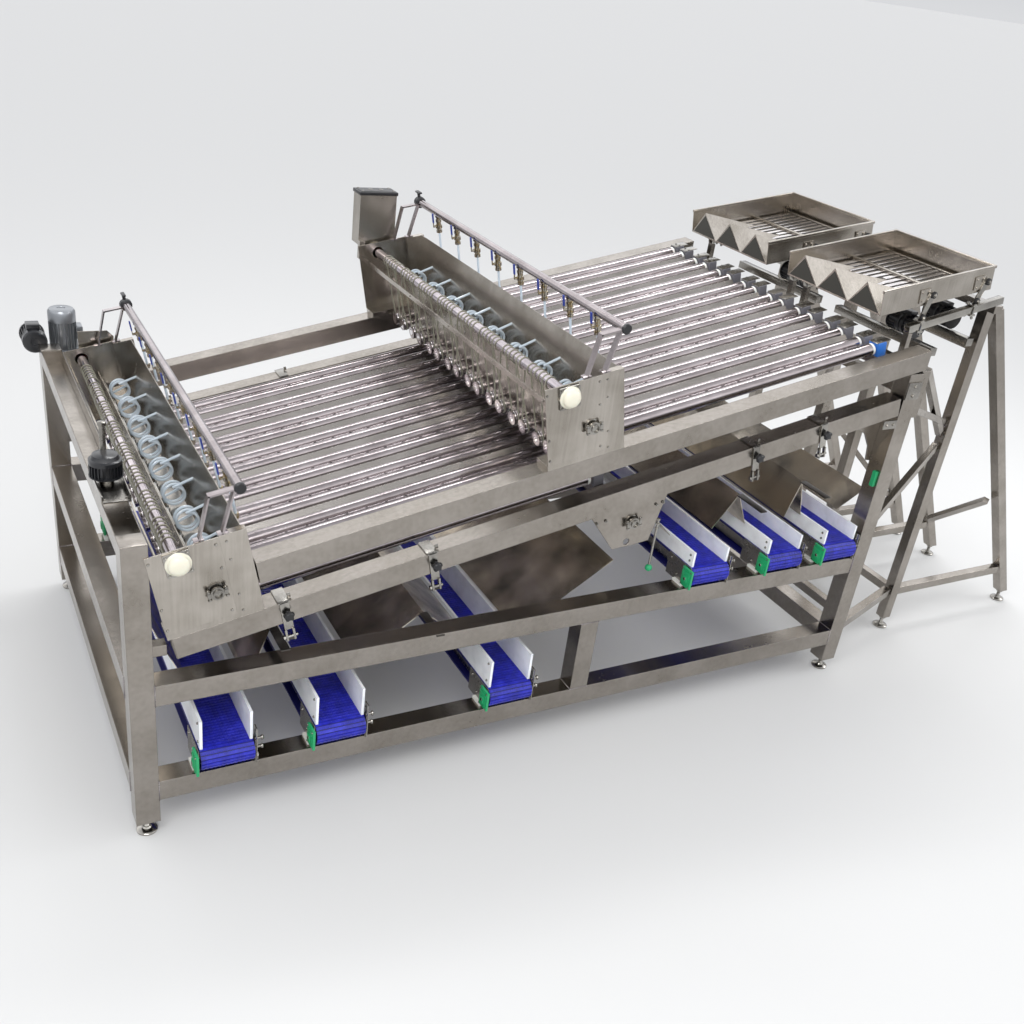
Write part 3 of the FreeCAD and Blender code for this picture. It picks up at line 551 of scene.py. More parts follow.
bm = bmesh.new()
bmesh.ops.create_uvsphere(bm, u_segments=8, v_segments=4, radius=1,
                          matrix=Matrix.Diagonal((1.8 * MM, 1.8 * MM, 9 * MM, 1)))
slots = drops_along("spray_slots", spray_lines, SLOT_STEP, mesh_object("spray_slot", bm), dark_hole)
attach(slots, "machine")

# ---------------------------------------------------------------- drive bridges
# Each bridge is folded from 3 mm sheet with 4 mm end plates, polished with a wheel that left
# upright bands. Hexagon screws hold the end plates to the posts behind them.
banded_sheet = steel("wheel_polished_plate", "#b5afa7", "#979188", 0.22, (30, 30, 1.2), corner=1.5,
                     polish=0.06, bump=0.0)
dress(banded_sheet, "bridge_housings")
BRIDGE_SPAN, PULLEY_INSET, PLATE_FACE = 228, 96, 884


def screw(bm, place, out, size, turn):
    """Adds a hexagon screw on its washer, the head standing out along a direction."""
    out = Vector(out)
    face = Vector(place)
    lathe(bm, [(0, size * 1.05), (1.2, size * 1.05), (1.6, size)], face, face + out * 2, turn, 16)
    lathe(bm, [(0, size * 0.78), (size * 0.5, size * 0.78), (size * 0.62, size * 0.66)],
          face + out * 1.6, face + out * 9, turn, 6)


bm = bmesh.new()
for turn in DECKS.values():
    for out in (-1, 1):
        y = out * PLATE_FACE
        for along, up in ((8, 40), (8, 120), (8, 292), (214, 40), (214, 120), (214, 205),
                          (214, 292)):
            screw(bm, (along - PULLEY_INSET, y, up), (0, out, 0), 5, turn)
        for up in (24, 88, 222, 290):
            screw(bm, (BRIDGE_SPAN - PULLEY_INSET + 20, y - out * 4, up), (0, out, 0), 4.5, turn)
    for edge in (-790, -395, 0, 395, 790):
        screw(bm, (39 - PULLEY_INSET, edge, 226), (-1, 0, 0), 3.5, turn)
piece("bridge_screws", bm, polished)

# The end plates' square flange bearings: a steel plate with four screws, and an ivory housing
# under a domed cap.
ivory = one_colour("ivory_bearing_housing", "#dcd8c6",
                   {"Roughness": 0.38, "Subsurface Weight": 0.04, "Coat Weight": 0.15})
bm, metal = bmesh.new(), bmesh.new()
for turn in DECKS.values():
    for out in (-1, 1):
        y = out * PLATE_FACE
        near, far = sorted((y, y + out * 9))
        block(metal, (SHAFT_BACK - 41, near, SHAFT_UP - 41),
              (SHAFT_BACK + 41, far, SHAFT_UP + 41), turn, 3)
        dome = [(24, 33), (28, 30), (32, 24), (34.5, 15), (35.6, 0)] if out < 0 else [(22, 33),
                                                                              (23, 22)]
        lathe(bm, [(0, 41), (9, 41), (13, 38), (15, 35), *dome], (SHAFT_BACK, y, SHAFT_UP),
              (SHAFT_BACK, y + out * 40, SHAFT_UP), turn, 32)
    for out in (-1, 1):
        for dx in (-33, 33):
            for dz in (-33, 33):
                face = out * (PLATE_FACE + 9)
                screw(metal, (SHAFT_BACK + dx, face, SHAFT_UP + dz), (0, out, 0), 5, turn)
piece("flange_bearings", bm, ivory)
piece("flange_bearing_screws", metal, polished)

# ---------------------------------------------------------------- water inlets
# A chromed clamp with a bolt through it grips a stub of pipe on each front plate: the
# trough drains here. The lower deck's hanger plate carries another like it.
bm = bmesh.new()


def nut(bm, place, radius, height, turn=FLOOR, way=(0, 0, 1)):
    """Adds a hexagon nut that stands on a point and rises one way."""
    lathe(bm, [(0, radius), (height, radius)], place, Vector(place) + Vector(way), turn, 6)


def pipe_clamp(bm, place, turn):
    """Adds a drain stub gripped by a two-part clamp, standing out of a front plate."""
    x, y, z = place
    lathe(bm, [(0, 30), (3, 30), (3.5, 17), (26, 17), (27, 13), (12, 12)], (x, y, z),
          (x, y - 40, z), turn, 24)
    lathe(bm, [(0, 20), (1, 23), (9, 23), (10, 20)], (x, y - 10, z), (x, y - 22, z), turn, 24)
    for side in (-1, 1):
        block(bm, (x + side * 27 - 6, y - 21, z - 9), (x + side * 27 + 6, y - 10, z + 9), turn, 2)
        rod(bm, (x + side * 28, y - 16, z - 20), (x + side * 28, y - 16, z + 20), 4, turn, 10)
        for up in (11, -18):
            nut(bm, (x + side * 28, y - 16, z + up), 7, 6, turn)


for turn in DECKS.values():
    pipe_clamp(bm, (182 - PULLEY_INSET, -PLATE_FACE, 128), turn)
pipe_clamp(bm, (1815 - LOWER_START, -880, -150), DECKS["lower"])
piece("drain_clamps", bm, polished)

# ---------------------------------------------------------------- water manifolds
# A bright pipe runs over each trough on two bent arms. A brass ball valve with a dark blue
# lever hangs from it at every lane, and a black lever valve shuts its far end.
brass, tree = new_material("nickel_plated_brass")
place = add_node(tree, "ShaderNodeTexCoord").outputs["Object"]
wear = add_node(tree, "ShaderNodeTexNoise", inputs={"Scale": 90.0, "Detail": 3.0},
                links={"Vector": place}).outputs["Fac"]
plated = add_node(tree, "ShaderNodeValToRGB", links={"Fac": wear},
                  stops=[(0.40, "#9c8a66"), (0.54, "#a59f92"), (0.75, "#b4b1ab")])
finish_material(tree, {"Metallic": 1.0, "Roughness": 0.24},
                {"Base Color": plated.outputs["Color"]})
lever_blue = one_colour("dark_blue_lever_sleeve", "#26388a", {"Roughness": 0.4})
black = one_colour("black_moulded_plastic", "#17171a", {"Roughness": 0.42, "Coat Weight": 0.1})
PIPE_ALONG, MANIFOLD_UP, MANIFOLD_RADIUS = 325 - PULLEY_INSET, 455, 16
bm, valves, levers, ends = bmesh.new(), bmesh.new(), bmesh.new(), bmesh.new()
for turn in DECKS.values():
    x, z = PIPE_ALONG, MANIFOLD_UP
    rod(bm, (x, -872, z), (x, 872, z), MANIFOLD_RADIUS, turn, 24, 2)
    for y in (-880, 855):
        arm = [(171, 318), (229, 455), (309, 455), (243, 318)]
        for (ax, az), (bx, bz) in zip(arm, arm[1:]):
            ax, bx = ax - PULLEY_INSET, bx - PULLEY_INSET
            lean = Vector((bx - ax, 0, bz - az))
            strap = bmesh.ops.create_cube(bm, size=1.0)["verts"]
            bmesh.ops.scale(bm, vec=(25, 6, lean.length + 5), verts=strap)
            bmesh.ops.rotate(bm, cent=(0, 0, 0), verts=strap, matrix=Matrix((
                (0, lean.normalized().z, lean.normalized().x), (1, 0, 0),
                (0, -lean.normalized().x, lean.normalized().z))))
            bmesh.ops.translate(bm, verts=strap,
                                vec=((ax + bx) / 2, y + 12.5, (az + bz) / 2))
            place_verts(strap, turn)
        block(bm, (153 - PULLEY_INSET, y, 315), (185 - PULLEY_INSET, y + 25, 321), turn, 1.5)
        block(bm, (228 - PULLEY_INSET, y, 315), (262 - PULLEY_INSET, y + 25, 321), turn, 1.5)
    for lane in LANES:
        lathe(valves, [(0, 14), (3, 14), (4, 10), (14, 10), (15, 13), (24, 13), (25, 11), (37, 11),
                       (38, 15), (52, 15), (53, 11), (60, 11), (61, 13), (72, 13)],
              (x, lane, z - 14), (x, lane, z - 90), turn, 12)
        lathe(valves, [(0, 11), (14, 11), (15, 8), (20, 8)], (x, lane, 262), (x, lane, 236),
              turn, 6)
        rod(valves, (x - 10, lane, z - 56), (x - 26, lane, z - 56), 5, turn, 10)
        block(valves, (x - 27, lane - 4, z - 60), (x - 24, lane + 4, z - 38), turn, 1)
        block(levers, (x - 28, lane - 6, z - 40), (x - 22.5, lane + 6, z + 2), turn, 2.5)
    lathe(ends, [(0, 17), (4, 25), (22, 26), (26, 20), (36, 20), (40, 14)], (x, 872, z),
          (x, 915, z), turn, 20)
    rod(ends, (x, 890, z + 20), (x, 890, z + 44), 7, turn, 12)
    block(ends, (x - 8, 866, z + 40), (x + 8, 914, z + 48), turn, 3)
    lathe(ends, [(0, 16), (2, 19), (10, 19), (13, 16)], (x, -872, z), (x, -886, z), turn, 20)
piece("manifold_pipes", bm, roller_steel, stands_for=["water_manifolds"])
piece("lane_valves", valves, brass)
piece("valve_levers", levers, lever_blue, smooth=False)
piece("manifold_end_valves", ends, black)

# ---------------------------------------------------------------- spray hoses
# Clear PVC hose, a pale blue tint where it lies thick, makes two turns and a quarter in the
# trough on its way from each valve down to its lane's pipe.
hose_clear = one_colour("clear_pvc_hose", "#dce8f2",
                        {"Roughness": 0.16, "Transmission Weight": 0.40, "IOR": 1.38,
                         "Coat Weight": 0.6})
HOSE_LOOP, HOSE_RADIUS, COIL_STEPS = 36, 5, 72
bm = bmesh.new()
for turn in DECKS.values():
    for lane in LANES:
        x, z = 192 - PULLEY_INSET, 178
        coil = []
        for k in range(COIL_STEPS + 1):
            share = k / COIL_STEPS
            angle = math.pi * (0.5 - 4.5 * share)
            coil.append((x + HOSE_LOOP * math.cos(angle), lane - 26 + 52 * share,
                         z + HOSE_LOOP * math.sin(angle)))
        drop = [(PIPE_ALONG, lane, MANIFOLD_UP - 86), (PIPE_ALONG, lane, 300),
                (PIPE_ALONG, lane, 243), (PIPE_ALONG - 4, lane - 2, 236),
                (PIPE_ALONG - 28, lane - 14, 228), (x + 22, lane - 25, z + HOSE_LOOP + 4)]
        tail = [(x - HOSE_LOOP - 2, lane + 27, z - 20), (x - HOSE_LOOP - 3, lane + 24, 128)]
        sweep(bm, drop + coil + tail, HOSE_RADIUS, turn, 8)
piece("spray_hose_coils", bm, hose_clear, stands_for=["spray_hoses"])

# Under each coil a chromed elbow goes through the trough floor into its lane's pipe, and a
# hexagon plug closes the trough beside it.
TROUGH_FLOOR = 125
bm = bmesh.new()
for turn in DECKS.values():
    for lane in LANES:
        x = 150 - PULLEY_INSET
        for y, tall in ((lane + 11, 34), (lane - 41, 24), (lane + 52, 24)):
            lathe(bm, [(0, 15), (9, 15), (10, 11), (16, 11), (17, 13), (24, 13), (25, 9)],
                  (x + 2, y, TROUGH_FLOOR), (x + 2, y, TROUGH_FLOOR + tall), turn, 6)
            rod(bm, (x + 2, y, TROUGH_FLOOR + tall - 4), (x - 14, y, TROUGH_FLOOR + tall + 14), 7,
                turn, 12)
        block(bm, (x - 8, lane - 62, 196), (x - 2, lane + 62, 206), turn, 1)
piece("trough_fittings", bm, polished)

# ---------------------------------------------------------------- roller end blocks
# At the feeding end each roller turns in a grey moulded block with a bright cap strip; two
# screws hold each to the beam below. The nearest block is a later blue spare.
grey_block = one_colour("grey_moulded_block", "#6d6c72", {"Roughness": 0.5})
blue_block = one_colour("blue_moulded_block", "#2f6fc4", {"Roughness": 0.4})
BLOCK_START, BLOCK_END = 1539, 1583
grey, blue, caps = bmesh.new(), bmesh.new(), bmesh.new()
for deck, turn in DECKS.items():
    for y in ROLLER_PITCHES:
        spare = deck == "upper" and y == min(ROLLER_PITCHES)
        into = blue if spare else grey
        block(into, (BLOCK_START - 0.6, y - 28.6, -30), (BLOCK_END + 0.6, y + 28.6, 28.6), turn, 4)
        block(caps, (BLOCK_START - 4, y - 24, 28), (BLOCK_END + 26, y + 24, 31), turn, 1)
        for dy in (-16, 16):
            screw(caps, (BLOCK_START + 22, y + dy, 31), (0, 0, 1), 4.5, turn)
piece("roller_end_blocks", grey, grey_block,
      stands_for=["bearing_blocks"])
piece("front_roller_end_block", blue, blue_block)
piece("block_cap_strips", caps, polished)

# The rollers' other ends run in round ivory bushes screwed to the bridge wall, just behind
# the pulleys, whose chromed rims flank the cord's groove.
BUSH_START, BUSH_END = 138 - PULLEY_INSET, 156 - PULLEY_INSET
bm = bmesh.new()
for turn in DECKS.values():
    for y in ROLLER_PITCHES:
        lathe(bm, [(0, 24), (3, 24), (5, 18), (16, 17), (18, 15)], (BUSH_START, y, 0),
              (BUSH_END, y, 0), turn, 20)
piece("wall_bushes", bm, ivory)
pulley_chrome = steel("chromed_pulley_rim", "#e6e3e4", "#cfcbcd", 0.07, (60, 60, 60), polish=0.03,
                      bump=0.0)
RIM_FACE = 17.4
for deck, turn in DECKS.items():
    for number, y in enumerate(ROLLER_PITCHES, start=1):
        bm = bmesh.new()
        for side in (-1, 1):
            lathe(bm, [(0, 14), (1.5, 21), (5, 25.5), (9, 27.4), (12.4, 27.4), (13.2, 24.5)],
                  (side * RIM_FACE, y, 0), (-side * RIM_FACE, y, 0), turn, 24)
        piece(f"{deck}_pulley_rims_{number:02d}", bm, pulley_chrome,
              f"{deck}_roller_{number:02d}")

# ---------------------------------------------------------------- motors and gearboxes
# The lower shaft is turned by a geared motor with a ribbed silver drum; a smaller black one
# stands on the front of the channel and a third lies across its back end.
cast_silver = one_colour("silver_painted_casting", "#8d9094", {"Roughness": 0.30, "Metallic": 0.8})
black_paint = one_colour("black_enamel", "#16171b", {"Roughness": 0.30, "Coat Weight": 0.3})


def motor(bm, start, end, radius, turn=FLOOR, fins=22):
    """Adds a motor: a finned drum with a flange at its start and a fan cowl at its end."""
    start, end = Vector(start), Vector(end)
    run = end - start
    length, out = run.length, run.normalized()
    lathe(bm, [(0, radius), (length * 0.07, radius), (length * 0.08, radius * 0.84),
               (length * 0.70, radius * 0.84), (length * 0.71, radius * 0.97),
               (length * 0.93, radius * 0.97), (length * 0.985, radius * 0.86),
               (length, radius * 0.70), (length, radius * 0.30), (length * 0.985, radius * 0.28),
               (length * 0.985, 0)], start, end, turn, 32)
    lean = run.to_track_quat("Z", "Y").to_matrix()
    for fin in range(fins):
        angle = 2 * math.pi * fin / fins
        centre = (start + out * (length * 0.39)
                  + lean @ Vector((math.cos(angle), math.sin(angle), 0)) * radius * 0.89)
        made = bmesh.ops.create_cube(bm, size=1.0)["verts"]
        bmesh.ops.scale(bm, vec=(radius * 0.16, 2.4, length * 0.60), verts=made)
        bmesh.ops.rotate(bm, cent=(0, 0, 0), verts=made,
                         matrix=lean @ Matrix.Rotation(angle, 3, "Z"))
        bmesh.ops.translate(bm, vec=centre, verts=made)
        place_verts(made, turn)


silver, dark = bmesh.new(), bmesh.new()
motor(silver, (69, 968, 1096), (69, 968, 1280), 57)
block(silver, (20, 922, 1000), (150, 1018, 1096), bevel=8)
lathe(silver, [(0, 50), (6, 50), (7, 40), (12, 38)], (69, 922, 1048), (69, 908, 1048), sides=24)
block(silver, (118, 938, 1150), (146, 998, 1206), bevel=5)
motor(dark, (-50, 998, 1165), (-50, 880, 1165), 50)
block(dark, (-78, 905, 1208), (-24, 960, 1232), bevel=5)
motor(dark, (0, -440, 1183), (0, -440, 1245), 54, fins=26)
lathe(dark, [(0, 46), (3, 44), (14, 40), (18, 28), (19, 12)], (0, -440, 1243), (0, -440, 1264),
      sides=28)
block(dark, (1382, 922, 1478), (1502, 982, 1558), bevel=7)
piece("lower_geared_motor", silver, cast_silver,
      stands_for=["drive_motors"])
piece("black_motors", dark, black_paint)
bm = bmesh.new()
block(bm, (-42, -592, 1155.4), (50, -392, 1162), bevel=1.5)
for x in (-42, 45):
    block(bm, (x, -592, 1162), (x + 5, -392, 1183), bevel=1.5)
lathe(bm, [(0, 24), (20, 24), (21, 18), (22, 18)], (0, -440, 1161), (0, -440, 1184), sides=24)
rod(bm, (0, -412, 1245), (0, -412, 1357), 10, sides=20)
lathe(bm, [(0, 13), (2, 14), (12, 14), (14, 11)], (0, -412, 1345), (0, -412, 1360), sides=20)
for x in (-30, 38):
    for y in (-575, -410):
        screw(bm, (x, y, 1162), (0, 0, 1), 5.5, FLOOR)
piece("winder_bracket", bm, polished)

# ---------------------------------------------------------------- upper drive box
# A spot-welded stainless box stands over the upper drive, closed by a black lid with four
# pan screws and two round blanking plugs; a cable gland comes out of its side.
dress(banded_sheet, "upper_drive_box")
bm, lid = bmesh.new(), bmesh.new()
block(lid, (1343, 903, 1779.4), (1528, 997, 1794.4), bevel=4)
block(lid, (1352, 912, 1790), (1519, 988, 1796.5), bevel=2)
for x in (1362, 1509):
    for y in (920, 980):
        lathe(bm, [(0, 6), (2.5, 5.5), (3.5, 3)], (x, y, 1796), (x, y, 1801), sides=14)
for x in (1410, 1460):
    lathe(bm, [(0, 11), (2, 11), (3, 9)], (x, 950, 1796), (x, 950, 1800), sides=20)
for x in (1521, 1523.5):
    lathe(bm, [(0, 9), (4, 9), (6, 6)], (x, 935, 1600), (x + 8, 935, 1600), sides=16)
piece("drive_box_screws", bm, polished)
piece("drive_box_lid", lid, black)

# ---------------------------------------------------------------- discharge chutes
# Folded and polished sheets; broad soft light and dark patches painted into their colour are
# painted reflections of the room.
# Their folds steer what falls between the rollers onto the belts.
chute_sheet_painted_reflections = steel("polished_sheet_painted_reflections", "#ece2d2", "#76716b", 0.17, (0.8, 2.2, 1.2), bump=0.0)
dress(chute_sheet_painted_reflections, "discharge_chutes")

# ---------------------------------------------------------------- chute clamps
# Eight saddle clamps sit over the lower deck rails. Each has a face plate, a black star knob
# on its threaded stud, and a hinge block whose pin holds a chute's hanger.
CLAMPS, RAIL_FACE, PIN_UP = (467, 1000, 2390, 2730), 880, -136
bm, knobs = bmesh.new(), bmesh.new()
turn = DECKS["lower"]


def star_knob(bm, place, out, radius, turn):
    """Adds a five-lobed hand knob whose face looks along out (-1 or 1 in y)."""
    x, y, z = place
    lathe(bm, [(0, radius * 0.45), (6, radius * 0.5), (8, radius * 0.78), (20, radius * 0.8),
               (24, radius * 0.6), (25, radius * 0.25)], (x, y, z), (x, y + out * 25, z), turn, 20)
    for lobe in range(5):
        angle = 2 * math.pi * lobe / 5 + 0.3
        centre = (x + radius * 0.68 * math.cos(angle), y, z + radius * 0.68 * math.sin(angle))
        lathe(bm, [(8, radius * 0.26), (10, radius * 0.34), (20, radius * 0.34),
                   (23, radius * 0.24)], centre, (centre[0], y + out * 25, centre[2]), turn, 12)


for along in CLAMPS:
    x = along - LOWER_START
    for side in (-1, 1):
        face = side * RAIL_FACE
        near, far = sorted((side * 799, side * 886))
        block(bm, (x - 20, near, 0), (x + 20, far, 6), turn, 1)
        near, far = sorted((face + side * 1, face + side * 6))
        block(bm, (x - 16, near, -106), (x + 16, far, 6), turn, 1.5)
        rod(bm, (x + 4, face + side * 6, -42), (x + 4, face + side * 16, -42), 6, turn, 12)
        star_knob(knobs, (x + 4, face + side * 8, -42), side, 19, turn)
        near, far = sorted((face - side * 3, face + side * 11))
        for dx in (-18, 8):
            block(bm, (x + dx, near, -150), (x + dx + 8, far, -104), turn, 2)
        rod(bm, (x - 24, face + side * 4, PIN_UP), (x + 24, face + side * 4, PIN_UP), 5, turn, 14)
        nut(bm, (x - 26, face + side * 4, PIN_UP), 9, 6, turn, (1, 0, 0))
        block(bm, (x + 18, side * 862 - 3, 4), (x + 30, side * 862 + 3, 20), turn, 1)
HOOK_X, HOOK_Y = 1985, -820
rod(bm, (HOOK_X, HOOK_Y, 742), (HOOK_X, HOOK_Y, 948), 5)
for z in (905, 925, 945):
    nut(bm, (HOOK_X, HOOK_Y, z), 8, 7)
piece("chute_clamp_plates", bm, polished, stands_for=["chute_clamps"])
piece("star_knobs", knobs, black)
green = one_colour("green_moulded_plastic", "#1f9a62", {"Roughness": 0.36})
bm = bmesh.new()
bmesh.ops.create_uvsphere(bm, u_segments=20, v_segments=12, radius=15,
                          matrix=Matrix.Translation((HOOK_X, HOOK_Y, 727)))
place_verts(bm.verts, FLOOR)
piece("hook_ball", bm, green)

# Dark flat straps hang each ridge from the clamps' hinge pins.
bm = bmesh.new()
for along, (ridge_x, ridge_z) in zip(CLAMPS, ((468, 690), (1046, 630), (2472, 950), (2818, 972))):
    pin = DECKS["lower"] @ (Vector((along - LOWER_START, 0, PIN_UP)) * MM)
    pin_x, pin_z = (FLOOR.inverted() @ pin).x / MM, (FLOOR.inverted() @ pin).z / MM
    for side in (-1, 1):
        y = side * 884
        low, high = sorted((side * 722, y))
        block(bm, (pin_x - 14, y - 2, pin_z - 14), (pin_x + 14, y + 2, pin_z + 6), bevel=1)
        lift = min(pin_z - 6, ridge_z)
        block(bm, (ridge_x - 16, low, lift - 5), (ridge_x + 16, high, lift), bevel=1)
hanger_dark = steel("blackened_hanger_plate", "#5d5a57", "#3a3836", 0.34, (20, 20, 20), corner=1)
piece("chute_hangers", bm, hanger_dark)

# ---------------------------------------------------------------- modular conveyor belts
# Six acetal belts of hinged rows, 15 mm pitch. One row, with its row of open knuckles, is
# repeated all the way round each belt's loop.
belt_blue, tree = new_material("royal_blue_acetal_belt")
place = add_node(tree, "ShaderNodeTexCoord").outputs["Object"]
dust = add_node(tree, "ShaderNodeTexNoise", inputs={"Scale": 30.0, "Detail": 4.0},
                links={"Vector": place}).outputs["Fac"]
moulded = add_node(tree, "ShaderNodeValToRGB", links={"Fac": dust},
                   stops=[(0.35, "#1a1f8f"), (0.62, "#262bb4"), (0.85, "#3a42c8")])
finish_material(tree, {"Roughness": 0.34, "Coat Weight": 0.1},
                {"Base Color": moulded.outputs["Color"]})
belt_gap = one_colour("belt_underlayer_shadow", "#10125c", {"Roughness": 0.5})
dress(belt_gap, "conveyor_belts")
BELT_WIDTH, BELT_HEIGHT, BELT_CLEARANCE, HALF_RUN, ROW_PITCH = 186, 84, 12, 863, 15
LOW_BELTS, HIGH_BELTS, LOW_RAIL, HIGH_RAIL = (176, 584, 1278), (2158, 2558, 2876), 235, 633
for label, starts, rail in (("low", LOW_BELTS, LOW_RAIL), ("high", HIGH_BELTS, HIGH_RAIL)):
    bm = bmesh.new()
    block(bm, (-BELT_WIDTH / 2 + 1, -1.6, -5.8), (BELT_WIDTH / 2 - 1, 1.6, 5.8), Matrix())
    for knuckle in range(13):
        x = -BELT_WIDTH / 2 + 6 + knuckle * 14.1
        block(bm, (x, -3.0, -3.6), (x + 7, 3.0, 3.6), Matrix())
    row = mesh_object(f"{label}_belt_row", bm)
    loops = []
    middle = rail + BELT_CLEARANCE + BELT_HEIGHT / 2
    radius = BELT_HEIGHT / 2 + 0.4
    for start in starts:
        x = start + BELT_WIDTH / 2
        loop = []
        for side, first in ((1, math.pi / 2), (-1, -math.pi / 2)):
            for k in range(13):
                angle = first - math.pi * k / 12
                loop.append(FLOOR @ (Vector((x, side * HALF_RUN + radius * math.cos(angle),
                                             middle + radius * math.sin(angle))) * MM))
        loops.append((loop, True))
    rows = drops_along(f"{label}_belt_rows", loops, ROW_PITCH, row, belt_blue)
    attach(rows, "machine")

# ---------------------------------------------------------------- conveyor ends and guides
# White polyethylene boards guide the product along both edges of each belt. At the ends are
# plates, green motor covers with a square boss, chromed board holders and white wear pads.
board_white, tree = new_material("white_polyethylene_board")
place = add_node(tree, "ShaderNodeTexCoord").outputs["Object"]
scuffs = add_node(tree, "ShaderNodeTexNoise", inputs={"Scale": 14.0, "Detail": 5.0},
                  links={"Vector": place}).outputs["Fac"]
rounded = add_node(tree, "ShaderNodeBevel", {"samples": 4}, {"Radius": 1.5 * MM})
boards = add_node(tree, "ShaderNodeValToRGB", links={"Fac": scuffs},
                  stops=[(0.30, "#dcdee2"), (0.52, "#eceef2"), (0.8, "#f6f7fa")])
finish_material(tree, {"Roughness": 0.42, "Subsurface Weight": 0.05},
                {"Base Color": boards.outputs["Color"], "Normal": rounded.outputs["Normal"]})
dress(board_white, "belt_side_guides")
dress(sheet_metal, "conveyor_frames")
bm, covers, pads = bmesh.new(), bmesh.new(), bmesh.new()
for rail, starts, guide in ((LOW_RAIL, LOW_BELTS, 118), (HIGH_RAIL, HIGH_BELTS, 66)):
    top = rail + BELT_CLEARANCE + BELT_HEIGHT
    axle = rail + BELT_CLEARANCE + BELT_HEIGHT / 2
    for start in starts:
        for side in (-1, 1):
            end_y = side * (HALF_RUN + 8)
            y = end_y - 40
            block(covers, (start - 18.5, y - 1, rail + 11), (start - 8, y + 63, rail + 95), bevel=3)
            block(covers, (start - 22, y + 8, rail + 22), (start - 17, y + 54, rail + 84), bevel=4)
            block(covers, (start - 26, y + 18, rail + 36), (start - 20, y + 44, rail + 66),
                  bevel=3)
            for dy in (6, 56):
                for dz in (18, 88):
                    screw(bm, (start - 18.5, y + dy, rail + dz), (-1, 0, 0), 3, FLOOR)
            rod(bm, (start - 27, y + 31, rail + 51), (start - 20, y + 31, rail + 51), 7, sides=16)
            for dx in (start - 6, start + BELT_WIDTH + 6):
                out = -1 if dx < start else 1
                screw(bm, (dx, side * HALF_RUN - side * 60, axle - 26), (out, 0, 0), 5, FLOOR)
                screw(bm, (dx, side * HALF_RUN - side * 110, axle + 26), (out, 0, 0), 5, FLOOR)
                screw(bm, (dx, side * HALF_RUN, axle), (out, 0, 0), 7, FLOOR)
            for dx, out in ((start + 2, -1), (start + BELT_WIDTH - 2, 1)):
                for dz in (22, guide - 18):
                    screw(bm, (dx, side * (HALF_RUN - 6), top + 2 + dz), (out, 0, 0), 5, FLOOR)
            x = start + BELT_WIDTH + 6
            holder_top = rail + (150 if guide > 100 else 128)
            block(bm, (x, y + 16, rail + 2), (x + 4, y + 46, holder_top), bevel=1)
            for dz in (62, 100):
                rod(bm, (x - 2, y + 31, rail + dz), (x + 26, y + 31, rail + dz), 5, sides=12)
                lathe(bm, [(0, 8), (5, 10), (9, 6)], (x + 20, y + 31, rail + dz),
                      (x + 29, y + 31, rail + dz), sides=14)
            for low_x, high_x in ((start - 20, start + 6),
                                  (start + BELT_WIDTH - 4, start + BELT_WIDTH + 24)):
                block(pads, (low_x, side * 800, rail), (high_x, side * 860, rail + 11))
block(covers, (3082, -869, 984), (3098, -847, 1056), bevel=4)
piece("conveyor_fittings", bm, polished)
piece("conveyor_end_covers", covers, green)
piece("conveyor_pads", pads, nylon)

